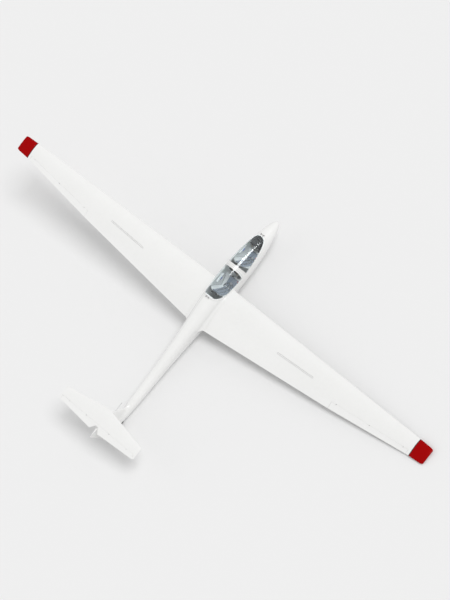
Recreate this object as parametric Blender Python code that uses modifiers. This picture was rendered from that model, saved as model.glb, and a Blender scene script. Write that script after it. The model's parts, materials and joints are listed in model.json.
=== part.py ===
"""A two-seat training sailplane with a T-tail, parked on its main wheel, its tail wheel and one wing tip.

Everything is modelled in the aircraft's own frame: X to the left wing, Y aft from the nose, Z up from
the wing's root chord. One empty then sets the whole aircraft down in its parked attitude.
"""

import math

import bmesh
import bpy
from mathutils import Matrix, Vector

# Overall sizes, in metres
HALF_SPAN = 8.50
DIHEDRAL = math.radians(3.9)
GAP = 0.005  # round anything that moves
SEAT_GAP = 0.0003  # between pieces that touch
BEYOND = 0.6  # cutters reach this far past what they cut

# Fuselage: station from the nose, half width, top, bottom, height of the widest point
FUSELAGE = [
    (0.00, 0.000, -0.170, -0.170, -0.170),
    (0.05, 0.072, -0.095, -0.252, -0.170),
    (0.20, 0.146, -0.020, -0.330, -0.162),
    (0.50, 0.226, 0.080, -0.402, -0.145),
    (0.90, 0.293, 0.215, -0.453, -0.115),
    (1.40, 0.340, 0.362, -0.484, -0.080),
    (2.00, 0.362, 0.462, -0.500, -0.050),
    (2.60, 0.360, 0.492, -0.500, -0.030),
    (3.20, 0.335, 0.455, -0.472, -0.010),
    (3.80, 0.285, 0.385, -0.412, 0.000),
    (4.40, 0.232, 0.312, -0.340, 0.000),
    (5.20, 0.190, 0.245, -0.266, 0.000),
    (6.20, 0.160, 0.195, -0.200, 0.000),
    (7.20, 0.130, 0.160, -0.146, 0.004),
    (8.10, 0.042, 0.118, -0.090, 0.010),
]
ROUNDNESS = 2.25  # superellipse power of every fuselage section
SECTION_POINTS = 28
HULL_WALL = 0.020
HULL_STATIONS = [
    0.004, 0.03, 0.09, 0.20, 0.36, 0.58, 0.86, 1.20, 1.60, 2.05, 2.50, 2.90, 3.30, 3.65, 4.00, 4.45,
]
BOOM_STATIONS = [4.45, 4.80, 5.30, 6.00, 6.80, 7.50, 7.972]
CABIN_STATIONS = [0.28, 0.42, 0.62, 0.88, 1.20, 1.60, 2.05, 2.50, 2.80, 3.03]

# Canopies: the side outlines of their openings, as (y, z) from the front edge round the sill
CANOPY_TOP_Z = 0.80
FRONT_HINGE = (0.606, 0.128)  # y, z of the front canopy's hinge rod
REAR_HINGE = (3.112, 0.478)
FRONT_HINGE_SLOPE, REAR_HINGE_SLOPE = math.radians(18), math.radians(-6)
REAR_EDGE_RADIUS = 1.180  # the rear canopy's front edge is an arc about its own hinge
FRONT_SILL = [(0.620, 0.110), (0.650, 0.088), (0.720, 0.068), (0.840, 0.053), (1.000, 0.048), (1.879, 0.050)]
FRONT_TOP_Y = 1.891
REAR_SILL = [(2.350, 0.085), (2.600, 0.130), (2.800, 0.190), (2.950, 0.270), (3.050, 0.350), (3.096, 0.420)]
CANOPY_SHUT_LINE = 0.006
FRAME_WIDTH, FRAME_DEPTH = 0.042, 0.014
GLASS_INSET, GLASS_THICK = 0.001, 0.006
CANOPY_STATIONS = [0.36, 0.58, 0.86, 1.20, 1.60, 2.05, 2.50, 2.90, 3.30]
# Ears on the fuselage and lugs on the frame: x, half thickness, radius, reach of the arm, depth of its foot
HINGE_EAR = (0.064, 0.004, 0.0070, 0.020, 0.034)
HINGE_LUG = (0.040, 0.010, 0.0065, 0.044, 0.024)
HINGE_ROD, ROD_END = 0.0035, 0.003

# Wing panel: span station, leading edge, chord, greatest thickness, camber
WING = [
    (0.40, 2.450, 1.525, 0.255, 0.040),
    (5.10, 2.520, 0.985, 0.150, 0.026),
    (8.00, 2.565, 0.575, 0.076, 0.014),
]
WING_TIP = [
    (8.00, 2.565, 0.575, 0.076, 0.014),
    (HALF_SPAN - 0.10, 2.578, 0.538, 0.062, 0.012),
    (HALF_SPAN - 0.03, 2.590, 0.510, 0.046, 0.010),
    (HALF_SPAN, 2.615, 0.450, 0.022, 0.006),
]
# Root fairing on the fuselage: span station, growth of the leading edge and of the trailing edge
ROOT_FAIRING = [(0.10, 0.060, 0.400), (0.25, 0.030, 0.190), (0.32, 0.010, 0.070), (0.40, 0.000, 0.000)]
CAMBER_PEAK = 0.40
EDGE_THICK = 0.004  # trailing edges are this thick
AIRFOIL_POINTS = 11  # on each side

# Control surfaces
AILERON_SPAN = (5.16, 7.90)
AILERON_HINGE = 0.78  # share of the chord
AILERON_TRAVEL = 22
ELEVATOR_UP, ELEVATOR_DOWN = 25, 17
RUDDER_TRAVEL = 30
# Each hinge is a plate on the fixed part, a pin through it, and a slot and bores in the surface
HINGE_PLATE, HINGE_TALL, HINGE_REACH = 0.008, 0.014, 0.008
HINGE_ROOT = 0.022  # how deep a plate is rooted ahead of the gap
SLOT_AHEAD, SLOT_AFT = 0.030, 0.0075
PIN_RADIUS, PIN_HALF, PIN_END_PLAY, BORE_PLAY = 0.004, 0.020, 0.002, 0.0004

# Tail: fin and rudder by height, as height, leading edge, trailing edge, thickness
FIN = [(-0.110, 7.020, 8.370, 0.118), (0.140, 7.170, 8.405, 0.118), (0.930, 7.640, 8.530, 0.078)]
FIN_FOOT_Z = 0.02
FIN_TOP_Z = 0.930
RUDDER_AXIS = ((8.030, -0.100), (8.062, 0.900))  # y, z at the foot and at the head
# Tailplane: half span station, leading edge, chord, thickness
TAILPLANE = [(0.00, 7.500, 0.820, 0.094), (1.55, 7.778, 0.430, 0.046), (1.60, 7.800, 0.370, 0.030)]
TAILPLANE_Z = 0.985
ELEVATOR_SPAN = 1.53
ELEVATOR_AXIS_Y = 8.085
NOTCH_HALF, NOTCH_FLAT, NOTCH_DEPTH = 0.175, 0.050, 0.060  # V cut in the elevator over the rudder

# Airbrake, one in each wing: a blade on two arms that swing up together
BRAKE_SPAN = (2.85, 4.25)
BRAKE_CHORD = 0.52
BRAKE_SLOT_HALF, BRAKE_DEPTH = 0.021, 0.128
BRAKE_ARM, BRAKE_ARM_REST, BRAKE_ARM_OPEN = 0.118, math.radians(8), 74
BRAKE_BLADE_THICK, BRAKE_ARM_THICK = 0.005, 0.005
BRAKE_CAP_THICK = 0.004
BRAKE_PIVOT_DEPTH, BRAKE_BLADE_FOOT = 0.105, 0.118  # below the skin
BRAKE_ARM_INSET, BRAKE_ARM_HALF = 0.130, 0.008

# Wheels: axle y, axle z, outer radius, tyre half width, well radius, well half width, fork half width
MAIN_WHEEL = (3.120, -0.452, 0.180, 0.062, 0.212, 0.082, 0.030)
NOSE_WHEEL = (0.800, -0.418, 0.150, 0.050, 0.172, 0.064, 0.024)
TAIL_WHEEL = (7.700, -0.130, 0.100, 0.032, 0.114, 0.048, 0.018)
WELL_WALL, WELL_STEPS = 0.015, 10
AXLE_RADIUS = 0.010
# Tyre section from bead to tread, as shares of its half width and of its radius
TYRE_FLANK = [(0.62, 0.52), (0.92, 0.64), (1.00, 0.78), (0.80, 0.93), (0.36, 1.00)]
HUB_BOSS, HUB_WEB_HALF, HUB_RIM, HUB_HALF_SHARE = 0.014, 0.009, 0.010, 0.80
FORK_PLATE = 0.008

# Tip skids: span station, y, radius, half thickness, depth sunk into the wing's underside
SKID = (8.190, 2.800, 0.085, 0.010, 0.012)

# Cockpit: side lines of the seats as (y, z), front edge to top of the back
FRONT_SEAT = [(1.120, -0.305), (1.400, -0.385), (1.500, -0.370), (1.700, 0.010), (1.760, 0.170)]
REAR_SEAT = [(2.120, -0.230), (2.500, -0.345), (2.600, -0.330), (2.800, 0.050), (2.850, 0.210)]
SEAT_THICK = 0.008
CUSHION_THICK, CUSHION_HALF, CUSHION_GAP = 0.035, 0.185, 0.0006
ROOM_GAP = 0.0007  # between the cockpit's fittings and its walls
CABIN_HALF = 0.40  # what is trimmed to the walls starts this wide
FLOOR_Z, FLOOR_THICK = -0.430, 0.010
FLOOR_START_Y, FLOOR_END_Y = 0.66, 2.86
# Instrument pods: side outlines as (y, z)
FRONT_POD = [
    (0.780, -0.040), (0.780, 0.030), (0.860, 0.100), (1.010, 0.165),
    (1.040, 0.160), (1.030, -0.100), (0.960, -0.130),
]
REAR_POD = [
    (1.880, 0.060), (1.880, 0.200), (1.910, 0.250), (2.010, 0.262),
    (2.030, 0.250), (2.010, 0.020), (1.960, 0.000),
]
# name, outline, half width, start, end and top of the pedestal
PODS = [("front", FRONT_POD, 0.150, 0.900, 0.950, 0.000), ("rear", REAR_POD, 0.130, 1.920, 1.970, 0.060)]
POD_FOOT_HALF = 0.04
# Controls: name, stick y, pedal bar y and z, brake lever y
CONTROLS = [("front", 1.045, 0.560, -0.110, 1.300), ("rear", 2.060, 1.830, -0.120, 2.400)]
# A stick's bends, as distance aft of its foot and height over the floor
STICK_LINE = [(0.00, 0.01), (0.02, 0.16), (0.07, 0.33), (0.10, 0.44)]
STICK_RADII = (0.0110, 0.0105, 0.0180)  # of its three lengths
BOOT_RADIUS, BOOT_TALL = 0.045, 0.03
PEDAL_X, PEDAL_HALF, PEDAL_DROP, PEDAL_BAR = 0.125, 0.035, 0.160, 0.010
LEVER_X, LEVER_Z = 0.270, -0.020
RAIL_HALF_LONG, RAIL_HALF_TALL = 0.16, 0.012
HANDLE_HALF_LONG, HANDLE_HALF_TALL, HANDLE_STANDS = 0.05, 0.008, 0.022
# Tow hooks: name, start and end y, depth let into the belly
HOOKS = [("nose", 0.180, 0.235, 0.025), ("belly", 2.740, 2.810, 0.012)]
HOOK_HALF, HOOK_STANDS, HOOK_MOUTH = 0.010, 0.022, 0.0055
PROBE_Z, PROBE_REACH, PROBE_ROOT, PROBE_RADIUS = 0.620, 0.320, 0.030, 0.006


def clear_scene():
    for obj in list(bpy.data.objects):
        bpy.data.objects.remove(obj)


def collection(name):
    made = bpy.data.collections.new(name)
    bpy.context.scene.collection.children.link(made)
    return made


def material(name, colour, roughness, metallic=0.0, alpha=1.0):
    made = bpy.data.materials.new(name)
    made.use_nodes = True
    shader = made.node_tree.nodes["Principled BSDF"]
    shader.inputs["Base Color"].default_value = (*colour, 1.0)
    shader.inputs["Roughness"].default_value = roughness
    shader.inputs["Metallic"].default_value = metallic
    shader.inputs["Alpha"].default_value = alpha
    return made


clear_scene()
PARTS = collection("sailplane")
CUTTERS = collection("cutters")
ATTITUDE = bpy.data.objects.new("parked_attitude", None)
PARTS.objects.link(ATTITUDE)

WHITE = material("white gelcoat", (0.86, 0.86, 0.85), 0.18)
RED = material("red tip paint", (0.40, 0.004, 0.005), 0.20)
CLEAR = material("clear acrylic", (0.80, 0.86, 0.88), 0.03, alpha=0.25)
GREY = material("cockpit grey", (0.30, 0.31, 0.32), 0.55)
CLOTH = material("seat cloth", (0.06, 0.08, 0.12), 0.90)
BLACK = material("black crackle", (0.02, 0.02, 0.02), 0.60)
RUBBER = material("tyre rubber", (0.025, 0.025, 0.025), 0.80)
STEEL = material("steel", (0.55, 0.55, 0.56), 0.35, 1.0)
ALLOY = material("cast alloy", (0.70, 0.70, 0.71), 0.40, 1.0)


# Basic shapes

def add(name, mesh, look=None):
    """A node where look is a material, or else a hidden cutter."""
    obj = bpy.data.objects.new(name, mesh)
    if look is None:
        CUTTERS.objects.link(obj)
        obj.hide_render = True
        obj.display_type = "WIRE"
    else:
        PARTS.objects.link(obj)
        mesh.materials.append(look)
    obj.parent = ATTITUDE
    return obj


def mesh_of(name, shape, matrix=None):
    """A bmesh made a mesh, with its faces pointing out."""
    if matrix is not None:
        shape.transform(matrix)
    bmesh.ops.recalc_face_normals(shape, faces=shape.faces)
    if shape.calc_volume(signed=True) < 0:
        bmesh.ops.reverse_faces(shape, faces=shape.faces)
    mesh = bpy.data.meshes.new(name)
    shape.to_mesh(mesh)
    shape.free()
    return mesh


def loft(name, rings, look=None):
    """A closed skin over rings of equally many points, with flat ends."""
    shape = bmesh.new()
    rows = [[shape.verts.new(point) for point in ring] for ring in rings]
    count = len(rings[0])
    for row, after in zip(rows, rows[1:]):
        for i in range(count):
            j = (i + 1) % count
            shape.faces.new((row[i], row[j], after[j], after[i]))
    shape.faces.new(rows[0])
    shape.faces.new(rows[-1])
    return add(name, mesh_of(name, shape), look)


def block(name, low, high, look=None, matrix=None):
    """A box between two corners, turned by matrix."""
    low, high = Vector(low), Vector(high)
    shape = bmesh.new()
    bmesh.ops.create_cube(shape, size=1)
    size = Matrix.Diagonal((*(high - low), 1))
    shape.transform(Matrix.Translation((low + high) / 2) @ size)
    return add(name, mesh_of(name, shape, matrix), look)


def blocks(name, boxes, matrices):
    """Cutter boxes that stay clear of each other, as one cutter."""
    shape = bmesh.new()
    for (low, high), matrix in zip(boxes, matrices):
        low, high = Vector(low), Vector(high)
        size = Matrix.Diagonal((*(high - low), 1))
        bmesh.ops.create_cube(shape, size=1, matrix=matrix @ Matrix.Translation((low + high) / 2) @ size)
    return add(name, mesh_of(name, shape))


def rod_matrix(start, end):
    """Carries a unit cylinder along Z to the line from start to end."""
    start, end = Vector(start), Vector(end)
    turn = (end - start).to_track_quat("Z", "Y").to_matrix().to_4x4()
    return Matrix.Translation((start + end) / 2) @ turn


def rods(name, ends, radius, look=None, segments=16):
    """Straight round rods, as one object."""
    shape = bmesh.new()
    for start, end in ends:
        bmesh.ops.create_cone(
            shape,
            cap_ends=True,
            segments=segments,
            radius1=radius,
            radius2=radius,
            depth=(Vector(end) - Vector(start)).length,
            matrix=rod_matrix(start, end),
        )
    return add(name, mesh_of(name, shape), look)


def plate(name, outline, half_thick, matrix, look=None):
    """A flat outline of (u, v) points with a thickness; matrix carries u, v and the thickness to X, Y, Z."""
    data = bpy.data.curves.new(name, "CURVE")
    data.dimensions = "2D"
    data.fill_mode = "BOTH"
    data.extrude = half_thick
    spline = data.splines.new("POLY")
    spline.points.add(len(outline) - 1)
    for point, (u, v) in zip(spline.points, outline):
        point.co = (u, v, 0, 1)
    spline.use_cyclic_u = True
    curve = bpy.data.objects.new(name, data)
    CUTTERS.objects.link(curve)
    bpy.context.view_layer.update()
    graph = bpy.context.evaluated_depsgraph_get()
    flat = bpy.data.meshes.new_from_object(curve.evaluated_get(graph))
    bpy.data.objects.remove(curve)
    shape = bmesh.new()
    shape.from_mesh(flat)
    bmesh.ops.remove_doubles(shape, verts=shape.verts, dist=1e-6)
    return add(name, mesh_of(name, shape, matrix), look)


def prism(name, outline, half_width, look=None, centre_x=0.0):
    """A side outline of (y, z) points, carried across X."""
    across = Matrix(((0, 0, 1, centre_x), (1, 0, 0, 0), (0, 1, 0, 0), (0, 0, 0, 1)))
    return plate(name, outline, half_width, across, look)


def turned(name, profile, centre, look=None, steps=32):
    """A profile of (x, radius) points turned about the line through centre along X."""
    mesh = bpy.data.meshes.new(name)
    points = [(x, 0, radius) for x, radius in profile]
    edges = [(i, (i + 1) % len(points)) for i in range(len(points))]
    mesh.from_pydata(points, edges, [])
    obj = add(name, mesh, look)
    obj.location = centre
    screw = obj.modifiers.new("turn", "SCREW")
    screw.axis = "X"
    screw.steps = screw.render_steps = steps
    screw.use_merge_vertices = True
    screw.merge_threshold = 0.00005
    return obj


def boolean(obj, other, operation):
    made = obj.modifiers.new(operation.lower(), "BOOLEAN")
    made.operation = operation
    made.object = other
    return obj


def cut(obj, *others):
    for other in others:
        boolean(obj, other, "DIFFERENCE")
    return obj


def join(obj, *others):
    for other in others:
        boolean(obj, other, "UNION")
    return obj


def keep_inside(obj, other):
    return boolean(obj, other, "INTERSECT")


def pivot(obj, point):
    """Moves the object's origin to its joint, and leaves its shape where it is."""
    point = Vector(point)
    obj.data.transform(Matrix.Translation(obj.location - point))
    obj.location = point
    return obj


# Curves that the surfaces follow

def smooth(table, column, y):
    """A table's column at y, as a cubic through its rows over the root of y, so that the nose is round."""
    at = [math.sqrt(row[0]) for row in table]
    value = [row[column] for row in table]
    u = math.sqrt(max(0.0, y))
    i = max(j for j in range(len(at) - 1) if at[j] <= u or j == 0)
    i = min(i, len(at) - 2)

    def slope(k):
        if k == 0:
            return (value[1] - value[0]) / (at[1] - at[0])
        if k == len(at) - 1:
            return (value[k] - value[k - 1]) / (at[k] - at[k - 1])
        return (value[k + 1] - value[k - 1]) / (at[k + 1] - at[k - 1])

    wide = at[i + 1] - at[i]
    t = (u - at[i]) / wide
    return (
        value[i] * (2 * t**3 - 3 * t**2 + 1)
        + slope(i) * wide * (t**3 - 2 * t**2 + t)
        + value[i + 1] * (3 * t**2 - 2 * t**3)
        + slope(i + 1) * wide * (t**3 - t**2)
    )


def straight(table, at):
    """A table's other columns at a station, each along a straight line between rows."""
    for before, after in zip(table, table[1:]):
        if at <= after[0]:
            break
    t = (at - before[0]) / (after[0] - before[0])
    return [a + (b - a) * t for a, b in zip(before[1:], after[1:])]


def hull_ring(y, inset=0.0):
    """One fuselage section, moved in by inset all round."""
    half = smooth(FUSELAGE, 1, y) - inset
    top = smooth(FUSELAGE, 2, y) - inset
    bottom = smooth(FUSELAGE, 3, y) + inset
    widest = smooth(FUSELAGE, 4, y)
    ring = []
    for i in range(SECTION_POINTS):
        angle = 2 * math.pi * (i + 0.5) / SECTION_POINTS
        c, s = math.cos(angle), math.sin(angle)
        tall = (top - widest) if s > 0 else (widest - bottom)
        x = half * math.copysign(abs(c) ** (2 / ROUNDNESS), c)
        z = widest + tall * math.copysign(abs(s) ** (2 / ROUNDNESS), s)
        ring.append((x, y, z))
    return ring


def hull_loft(name, stations, inset=0.0, look=None):
    return loft(name, [hull_ring(y, inset) for y in stations], look)


def half_thickness(share):
    """Half the thickness of a section at a share of its chord, for a greatest thickness of 1."""
    root = math.sqrt(share)
    return 5 * (0.2969 * root - 0.1260 * share - 0.3516 * share**2 + 0.2843 * share**3 - 0.1036 * share**4)


def camber_line(share):
    """Height of the mean line at a share of the chord, for a camber of 1."""
    p = CAMBER_PEAK
    if share < p:
        return (2 * p * share - share**2) / p**2
    return (1 - 2 * p + 2 * p * share - share**2) / (1 - p) ** 2


def section_outline(edge, chord, thick, camber=0.0):
    """A wing section as (y, z) points, from the upper trailing edge round the nose."""
    shares = [0.5 * (1 - math.cos(math.pi * i / (AIRFOIL_POINTS - 1))) for i in range(AIRFOIL_POINTS)]
    upper = []
    lower = []
    for share in shares:
        half = max(thick * half_thickness(share), EDGE_THICK / 2 * share)
        middle = camber * camber_line(share)
        upper.append((edge + chord * share, middle + half))
        lower.append((edge + chord * share, middle - half))
    return upper[::-1] + lower[1:]


def flap_outline(axis_y, axis_z, nose, edge_y, edge_z, belly):
    """A hinged surface's section: a round nose about its axis, then straight sides to its edge.

    belly is the half thickness halfway to the trailing edge."""
    middle_y, middle_z = (axis_y + edge_y) / 2, (axis_z + edge_z) / 2
    points = [(edge_y, edge_z + EDGE_THICK / 2), (middle_y, middle_z + belly)]
    for i in range(9):
        angle = math.pi / 2 + math.pi * i / 8
        points.append((axis_y + nose * math.cos(angle), axis_z + nose * math.sin(angle)))
    points += [(middle_y, middle_z - belly), (edge_y, edge_z - EDGE_THICK / 2)]
    return points


def cove_outline(axis_y, axis_z, nose, edge_y, tall):
    """What a hinged surface and its gap need, cut from the part that carries it."""
    radius = nose + GAP
    points = [(edge_y, axis_z + tall), (axis_y, axis_z + tall)]
    for i in range(9):
        angle = math.pi / 2 + math.pi * i / 8
        points.append((axis_y + radius * math.cos(angle), axis_z + radius * math.sin(angle)))
    points += [(axis_y, axis_z - tall), (edge_y, axis_z - tall)]
    return points


def wing_point(side, s, y, z):
    """A point of the left (1) or right (-1) wing panel, raised by the dihedral."""
    c, d = math.cos(DIHEDRAL), math.sin(DIHEDRAL)
    return Vector((side * (s * c - z * d), y, s * d + z * c))


def wing_rings(side, stations, outline):
    """Rings at span stations, where outline gives the (y, z) points at one of them."""
    return [[wing_point(side, s, y, z) for y, z in outline(s)] for s in stations]


# Hinges of the control surfaces

def hinge_frame(point, along, aft):
    """A frame on a hinge line: X along it, Y aft, Z up from both."""
    along = Vector(along).normalized()
    aft = Vector(aft)
    aft = (aft - along * aft.dot(along)).normalized()
    up = along.cross(aft)
    return Matrix.Translation(point) @ Matrix((along, aft, up)).transposed().to_4x4()


def control_hinges(fixed, moving, start, end, shares, noses, aft=(0, 1, 0)):
    """Plates and a pin each on the fixed part, and the slots and bores for them in the moving one."""
    start, end = Vector(start), Vector(end)
    along = end - start
    frames, plates, slots = [], [], []
    for share in shares:
        nose = noses[0] + (noses[1] - noses[0]) * share
        frames.append(hinge_frame(start + along * share, along, aft))
        half, tall = HINGE_PLATE / 2, HINGE_TALL / 2
        plates.append(((-half, -nose - GAP - HINGE_ROOT, -tall), (half, HINGE_REACH, tall)))
        wide, high = half + GAP, nose + SLOT_AHEAD
        slots.append(((-wide, -high, -high), (wide, HINGE_REACH + SLOT_AFT, high)))
    name = moving.name
    join(fixed, blocks(name + "_hinge_plates", plates, frames))
    pins = [(frame @ Vector((-PIN_HALF, 0, 0)), frame @ Vector((PIN_HALF, 0, 0))) for frame in frames]
    join(fixed, rods(name + "_hinge_pins", pins, PIN_RADIUS, segments=12))
    cut(moving, blocks(name + "_hinge_slots", slots, frames))
    deep = PIN_HALF + PIN_END_PLAY
    bores = [(frame @ Vector((-deep, 0, 0)), frame @ Vector((deep, 0, 0))) for frame in frames]
    cut(moving, rods(name + "_hinge_bores", bores, PIN_RADIUS + BORE_PLAY, segments=12))


# Fuselage

def well_outline(wheel, extra=0.0):
    """A wheel well from the side: round over the wheel, open below."""
    y, z, _, _, radius, *_ = wheel
    radius += extra
    points = [(y - radius, z - BEYOND)]
    for i in range(WELL_STEPS + 1):
        angle = math.pi - math.pi * i / WELL_STEPS
        points.append((y + radius * math.cos(angle), z + radius * math.sin(angle)))
    points.append((y + radius, z - BEYOND))
    return points


def housing_cutters(extra, label):
    """The walls round the nose and main wheel wells, grown by extra."""
    made = []
    for name, wheel in (("nose", NOSE_WHEEL), ("main", MAIN_WHEEL)):
        outline = well_outline(wheel, WELL_WALL + extra)
        made.append(prism(f"{name}_housing_{label}", outline, wheel[5] + WELL_WALL + extra))
    return made


def arc_edge(radius):
    """The rear canopy's front edge, an arc about its hinge from the top down to the sill."""
    y, z = REAR_HINGE
    points = []
    for i in range(6):
        drop = 0.42 * i / 5
        points.append((y - math.sqrt(radius**2 - drop**2), z - drop))
    return points


def front_opening():
    return [(FRONT_SILL[0][0], CANOPY_TOP_Z)] + FRONT_SILL + [(FRONT_TOP_Y, CANOPY_TOP_Z)]


def rear_opening():
    edge = arc_edge(REAR_EDGE_RADIUS)
    return [(edge[0][0], CANOPY_TOP_Z)] + edge + REAR_SILL + [(REAR_SILL[-1][0], CANOPY_TOP_Z)]


def inset_outline(outline, distance):
    """A closed outline with every side moved inwards by distance."""
    count = len(outline)
    area = sum(
        outline[i][0] * outline[(i + 1) % count][1] - outline[(i + 1) % count][0] * outline[i][1]
        for i in range(count)
    )
    turn = 1 if area > 0 else -1
    made = []
    for i in range(count):
        here = Vector(outline[i])
        before = (here - Vector(outline[i - 1])).normalized()
        after = (Vector(outline[(i + 1) % count]) - here).normalized()
        normal_before = Vector((-before.y, before.x)) * turn
        normal_after = Vector((-after.y, after.x)) * turn
        middle = (normal_before + normal_after).normalized()
        made.append(tuple(here + middle * (distance / middle.dot(normal_after))))
    return made


def tab_outline(hinge, slope, facing, radius, reach, foot):
    """A tab round a hinge, with an arm of that reach and a foot below its end; facing is 1 aft, -1 ahead."""
    points = []
    for i in range(9):
        angle = math.pi / 2 + math.pi * i / 8
        points.append((radius * math.cos(angle), radius * math.sin(angle)))
    heel = max(0.0, reach - 0.012)
    points += [(heel, -radius), (heel, -foot), (reach, -foot), (reach, radius)]
    c, s = math.cos(slope), math.sin(slope)
    return [(hinge[0] + facing * y * c - z * s, hinge[1] + facing * y * s + z * c) for y, z in points]


def canopy_hinge(fuselage, frame, hinge, facing, slope, label):
    """A rod between two ears on the fuselage, through two lugs on the canopy's frame."""
    y, z = hinge
    ear_x, ear_half, *ear = HINGE_EAR
    lug_x, lug_half, *lug = HINGE_LUG
    for side in (-1, 1):
        outline = tab_outline(hinge, slope, -facing, *ear)
        join(fuselage, prism(f"{label}_ear_{side}", outline, ear_half, centre_x=side * ear_x))
        outline = tab_outline(hinge, slope, facing, *lug)
        join(frame, prism(f"{label}_lug_{side}", outline, lug_half, centre_x=side * lug_x))
    ends = ear_x + ROD_END
    join(fuselage, rods(label + "_rod", [((-ends, y, z), (ends, y, z))], HINGE_ROD, segments=12))
    wide = lug_x + lug_half + PIN_END_PLAY
    bore = rods(label + "_bore", [((-wide, y, z), (wide, y, z))], HINGE_ROD + BORE_PLAY, segments=12)
    cut(frame, bore)


def fairing_rings(side):
    rings = []
    for s, ahead, behind in ROOT_FAIRING:
        edge, chord, thick, camber = straight(WING, s)
        station = s - SEAT_GAP if s == WING[0][0] else s
        outline = section_outline(edge - ahead, chord + ahead + behind, thick, camber)
        rings.append([wing_point(side, station, y, z) for y, z in outline])
    return rings


def make_fuselage():
    front = hull_loft("fuselage_front", HULL_STATIONS, look=WHITE)
    join(front, *[loft(f"root_fairing_{side}", fairing_rings(side)) for side in (1, -1)])
    cabin = hull_loft("cabin_space", CABIN_STATIONS, HULL_WALL)
    cut(cabin, *housing_cutters(0.0, "wall"))
    cut(front, cabin)
    cut(front, prism("front_opening", front_opening(), BEYOND), prism("rear_opening", rear_opening(), BEYOND))
    for name, wheel in (("nose", NOSE_WHEEL), ("main", MAIN_WHEEL)):
        cut(front, prism(f"{name}_well", well_outline(wheel), wheel[5]))

    rear_stations = [BOOM_STATIONS[0] + SEAT_GAP] + BOOM_STATIONS[1:]
    rear = hull_loft("fuselage_rear", rear_stations, look=WHITE)
    rings = []
    for height in (FIN_FOOT_Z, 0.140, FIN_TOP_Z):
        edge, end, thick = straight(FIN, height)
        rings.append([(z, y, height) for y, z in section_outline(edge, end - edge, thick)])
    join(rear, loft("fin", rings))
    cut(rear, loft("rudder_cove", rudder_rings(cove=True)))
    cut(rear, prism("tail_well", well_outline(TAIL_WHEEL), TAIL_WHEEL[5]))
    return front, rear


def rudder_section(height):
    """Axis y, nose radius, trailing edge y and belly half thickness of the rudder at a height."""
    (foot_y, foot_z), (head_y, head_z) = RUDDER_AXIS
    axis = foot_y + (head_y - foot_y) * (height - foot_z) / (head_z - foot_z)
    edge, end, thick = straight(FIN, height)
    nose = thick * half_thickness((axis - edge) / (end - edge))
    belly = thick * half_thickness(((axis + end) / 2 - edge) / (end - edge))
    return axis, nose, end, belly


def rudder_rings(cove=False):
    (_, foot), (_, head) = RUDDER_AXIS
    rings = []
    heights = (foot - 0.3, foot, 0.14, head, FIN_TOP_Z + 0.05) if cove else (foot, 0.14, head)
    for height in heights:
        axis, nose, end, belly = rudder_section(min(max(height, foot), head))
        if cove:
            outline = cove_outline(axis, 0, nose, end + 0.1, 0.3)
        else:
            outline = flap_outline(axis, 0, nose, end, 0, belly)
        rings.append([(across, y, height) for y, across in outline])
    return rings


def make_rudder(rear):
    rudder = loft("rudder", rudder_rings(), WHITE)
    (foot_y, foot_z), (head_y, head_z) = RUDDER_AXIS
    noses = [rudder_section(z)[1] for z in (foot_z, head_z)]
    start, end = Vector((0, foot_y, foot_z)), Vector((0, head_y, head_z))
    control_hinges(rear, rudder, start, end, (0.22, 0.86), noses)
    return pivot(rudder, start)


# Tailplane

def tailplane_rings(stations, outline):
    return [[(x, y, TAILPLANE_Z + z) for y, z in outline(x)] for x in stations]


def make_tailplane():
    """The fixed tailplane on the fin, and the elevator behind it with its notch for the rudder."""
    spans = [row[0] for row in TAILPLANE]
    both = [-x for x in spans[:0:-1]] + spans

    def whole(x):
        return section_outline(*straight(TAILPLANE, abs(x)))

    def hinge_nose(x):
        edge, chord, thick = straight(TAILPLANE, abs(x))
        return thick * half_thickness((ELEVATOR_AXIS_Y - edge) / chord)

    def flap(x):
        edge, chord, thick = straight(TAILPLANE, abs(x))
        end = edge + chord
        if abs(x) < NOTCH_HALF:
            end = ELEVATOR_AXIS_Y + NOTCH_DEPTH
        belly = thick * half_thickness(min(1.0, ((ELEVATOR_AXIS_Y + end) / 2 - edge) / chord))
        return flap_outline(ELEVATOR_AXIS_Y, 0, hinge_nose(x), end, 0, belly)

    def cove(x):
        return cove_outline(ELEVATOR_AXIS_Y, 0, hinge_nose(min(abs(x), ELEVATOR_SPAN)), 8.5, 0.2)

    tailplane = loft("tailplane", tailplane_rings(both, whole), WHITE)
    wide = ELEVATOR_SPAN + GAP
    cut(tailplane, loft("elevator_cove", tailplane_rings((-wide, 0, wide), cove)))
    edge, end, thick = straight(FIN, FIN_TOP_Z)
    saddle = [(z, y) for y, z in section_outline(edge, end - edge, thick)]
    saddle = [(x, min(y, ELEVATOR_AXIS_Y - 0.075)) for x, y in saddle]
    foot = FIN_TOP_Z + SEAT_GAP
    keel = loft("saddle", [[(x, y, z) for x, y in saddle] for z in (foot, TAILPLANE_Z)])
    join(tailplane, keel)
    half = (NOTCH_FLAT, NOTCH_HALF, ELEVATOR_SPAN)
    spans = [-x for x in half[::-1]] + list(half)
    elevator = loft("elevator", tailplane_rings(spans, flap), WHITE)
    reach = ELEVATOR_SPAN
    start = Vector((-reach, ELEVATOR_AXIS_Y, TAILPLANE_Z))
    end_point = Vector((reach, ELEVATOR_AXIS_Y, TAILPLANE_Z))
    control_hinges(tailplane, elevator, start, end_point, (0.10, 0.34, 0.66, 0.90), (0.020, 0.020))
    return tailplane, pivot(elevator, (0, ELEVATOR_AXIS_Y, TAILPLANE_Z))


# Wings

def wing_outline(s):
    return section_outline(*straight(WING, s))


def tip_outline(s):
    return section_outline(*straight(WING_TIP, s))


def surface_height(s, share, sign):
    """Height of the wing's skin at a share of the chord, upper for 1 and lower for -1."""
    _, _, thick, camber = straight(WING, s)
    return camber * camber_line(share) + sign * thick * half_thickness(share)


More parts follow.
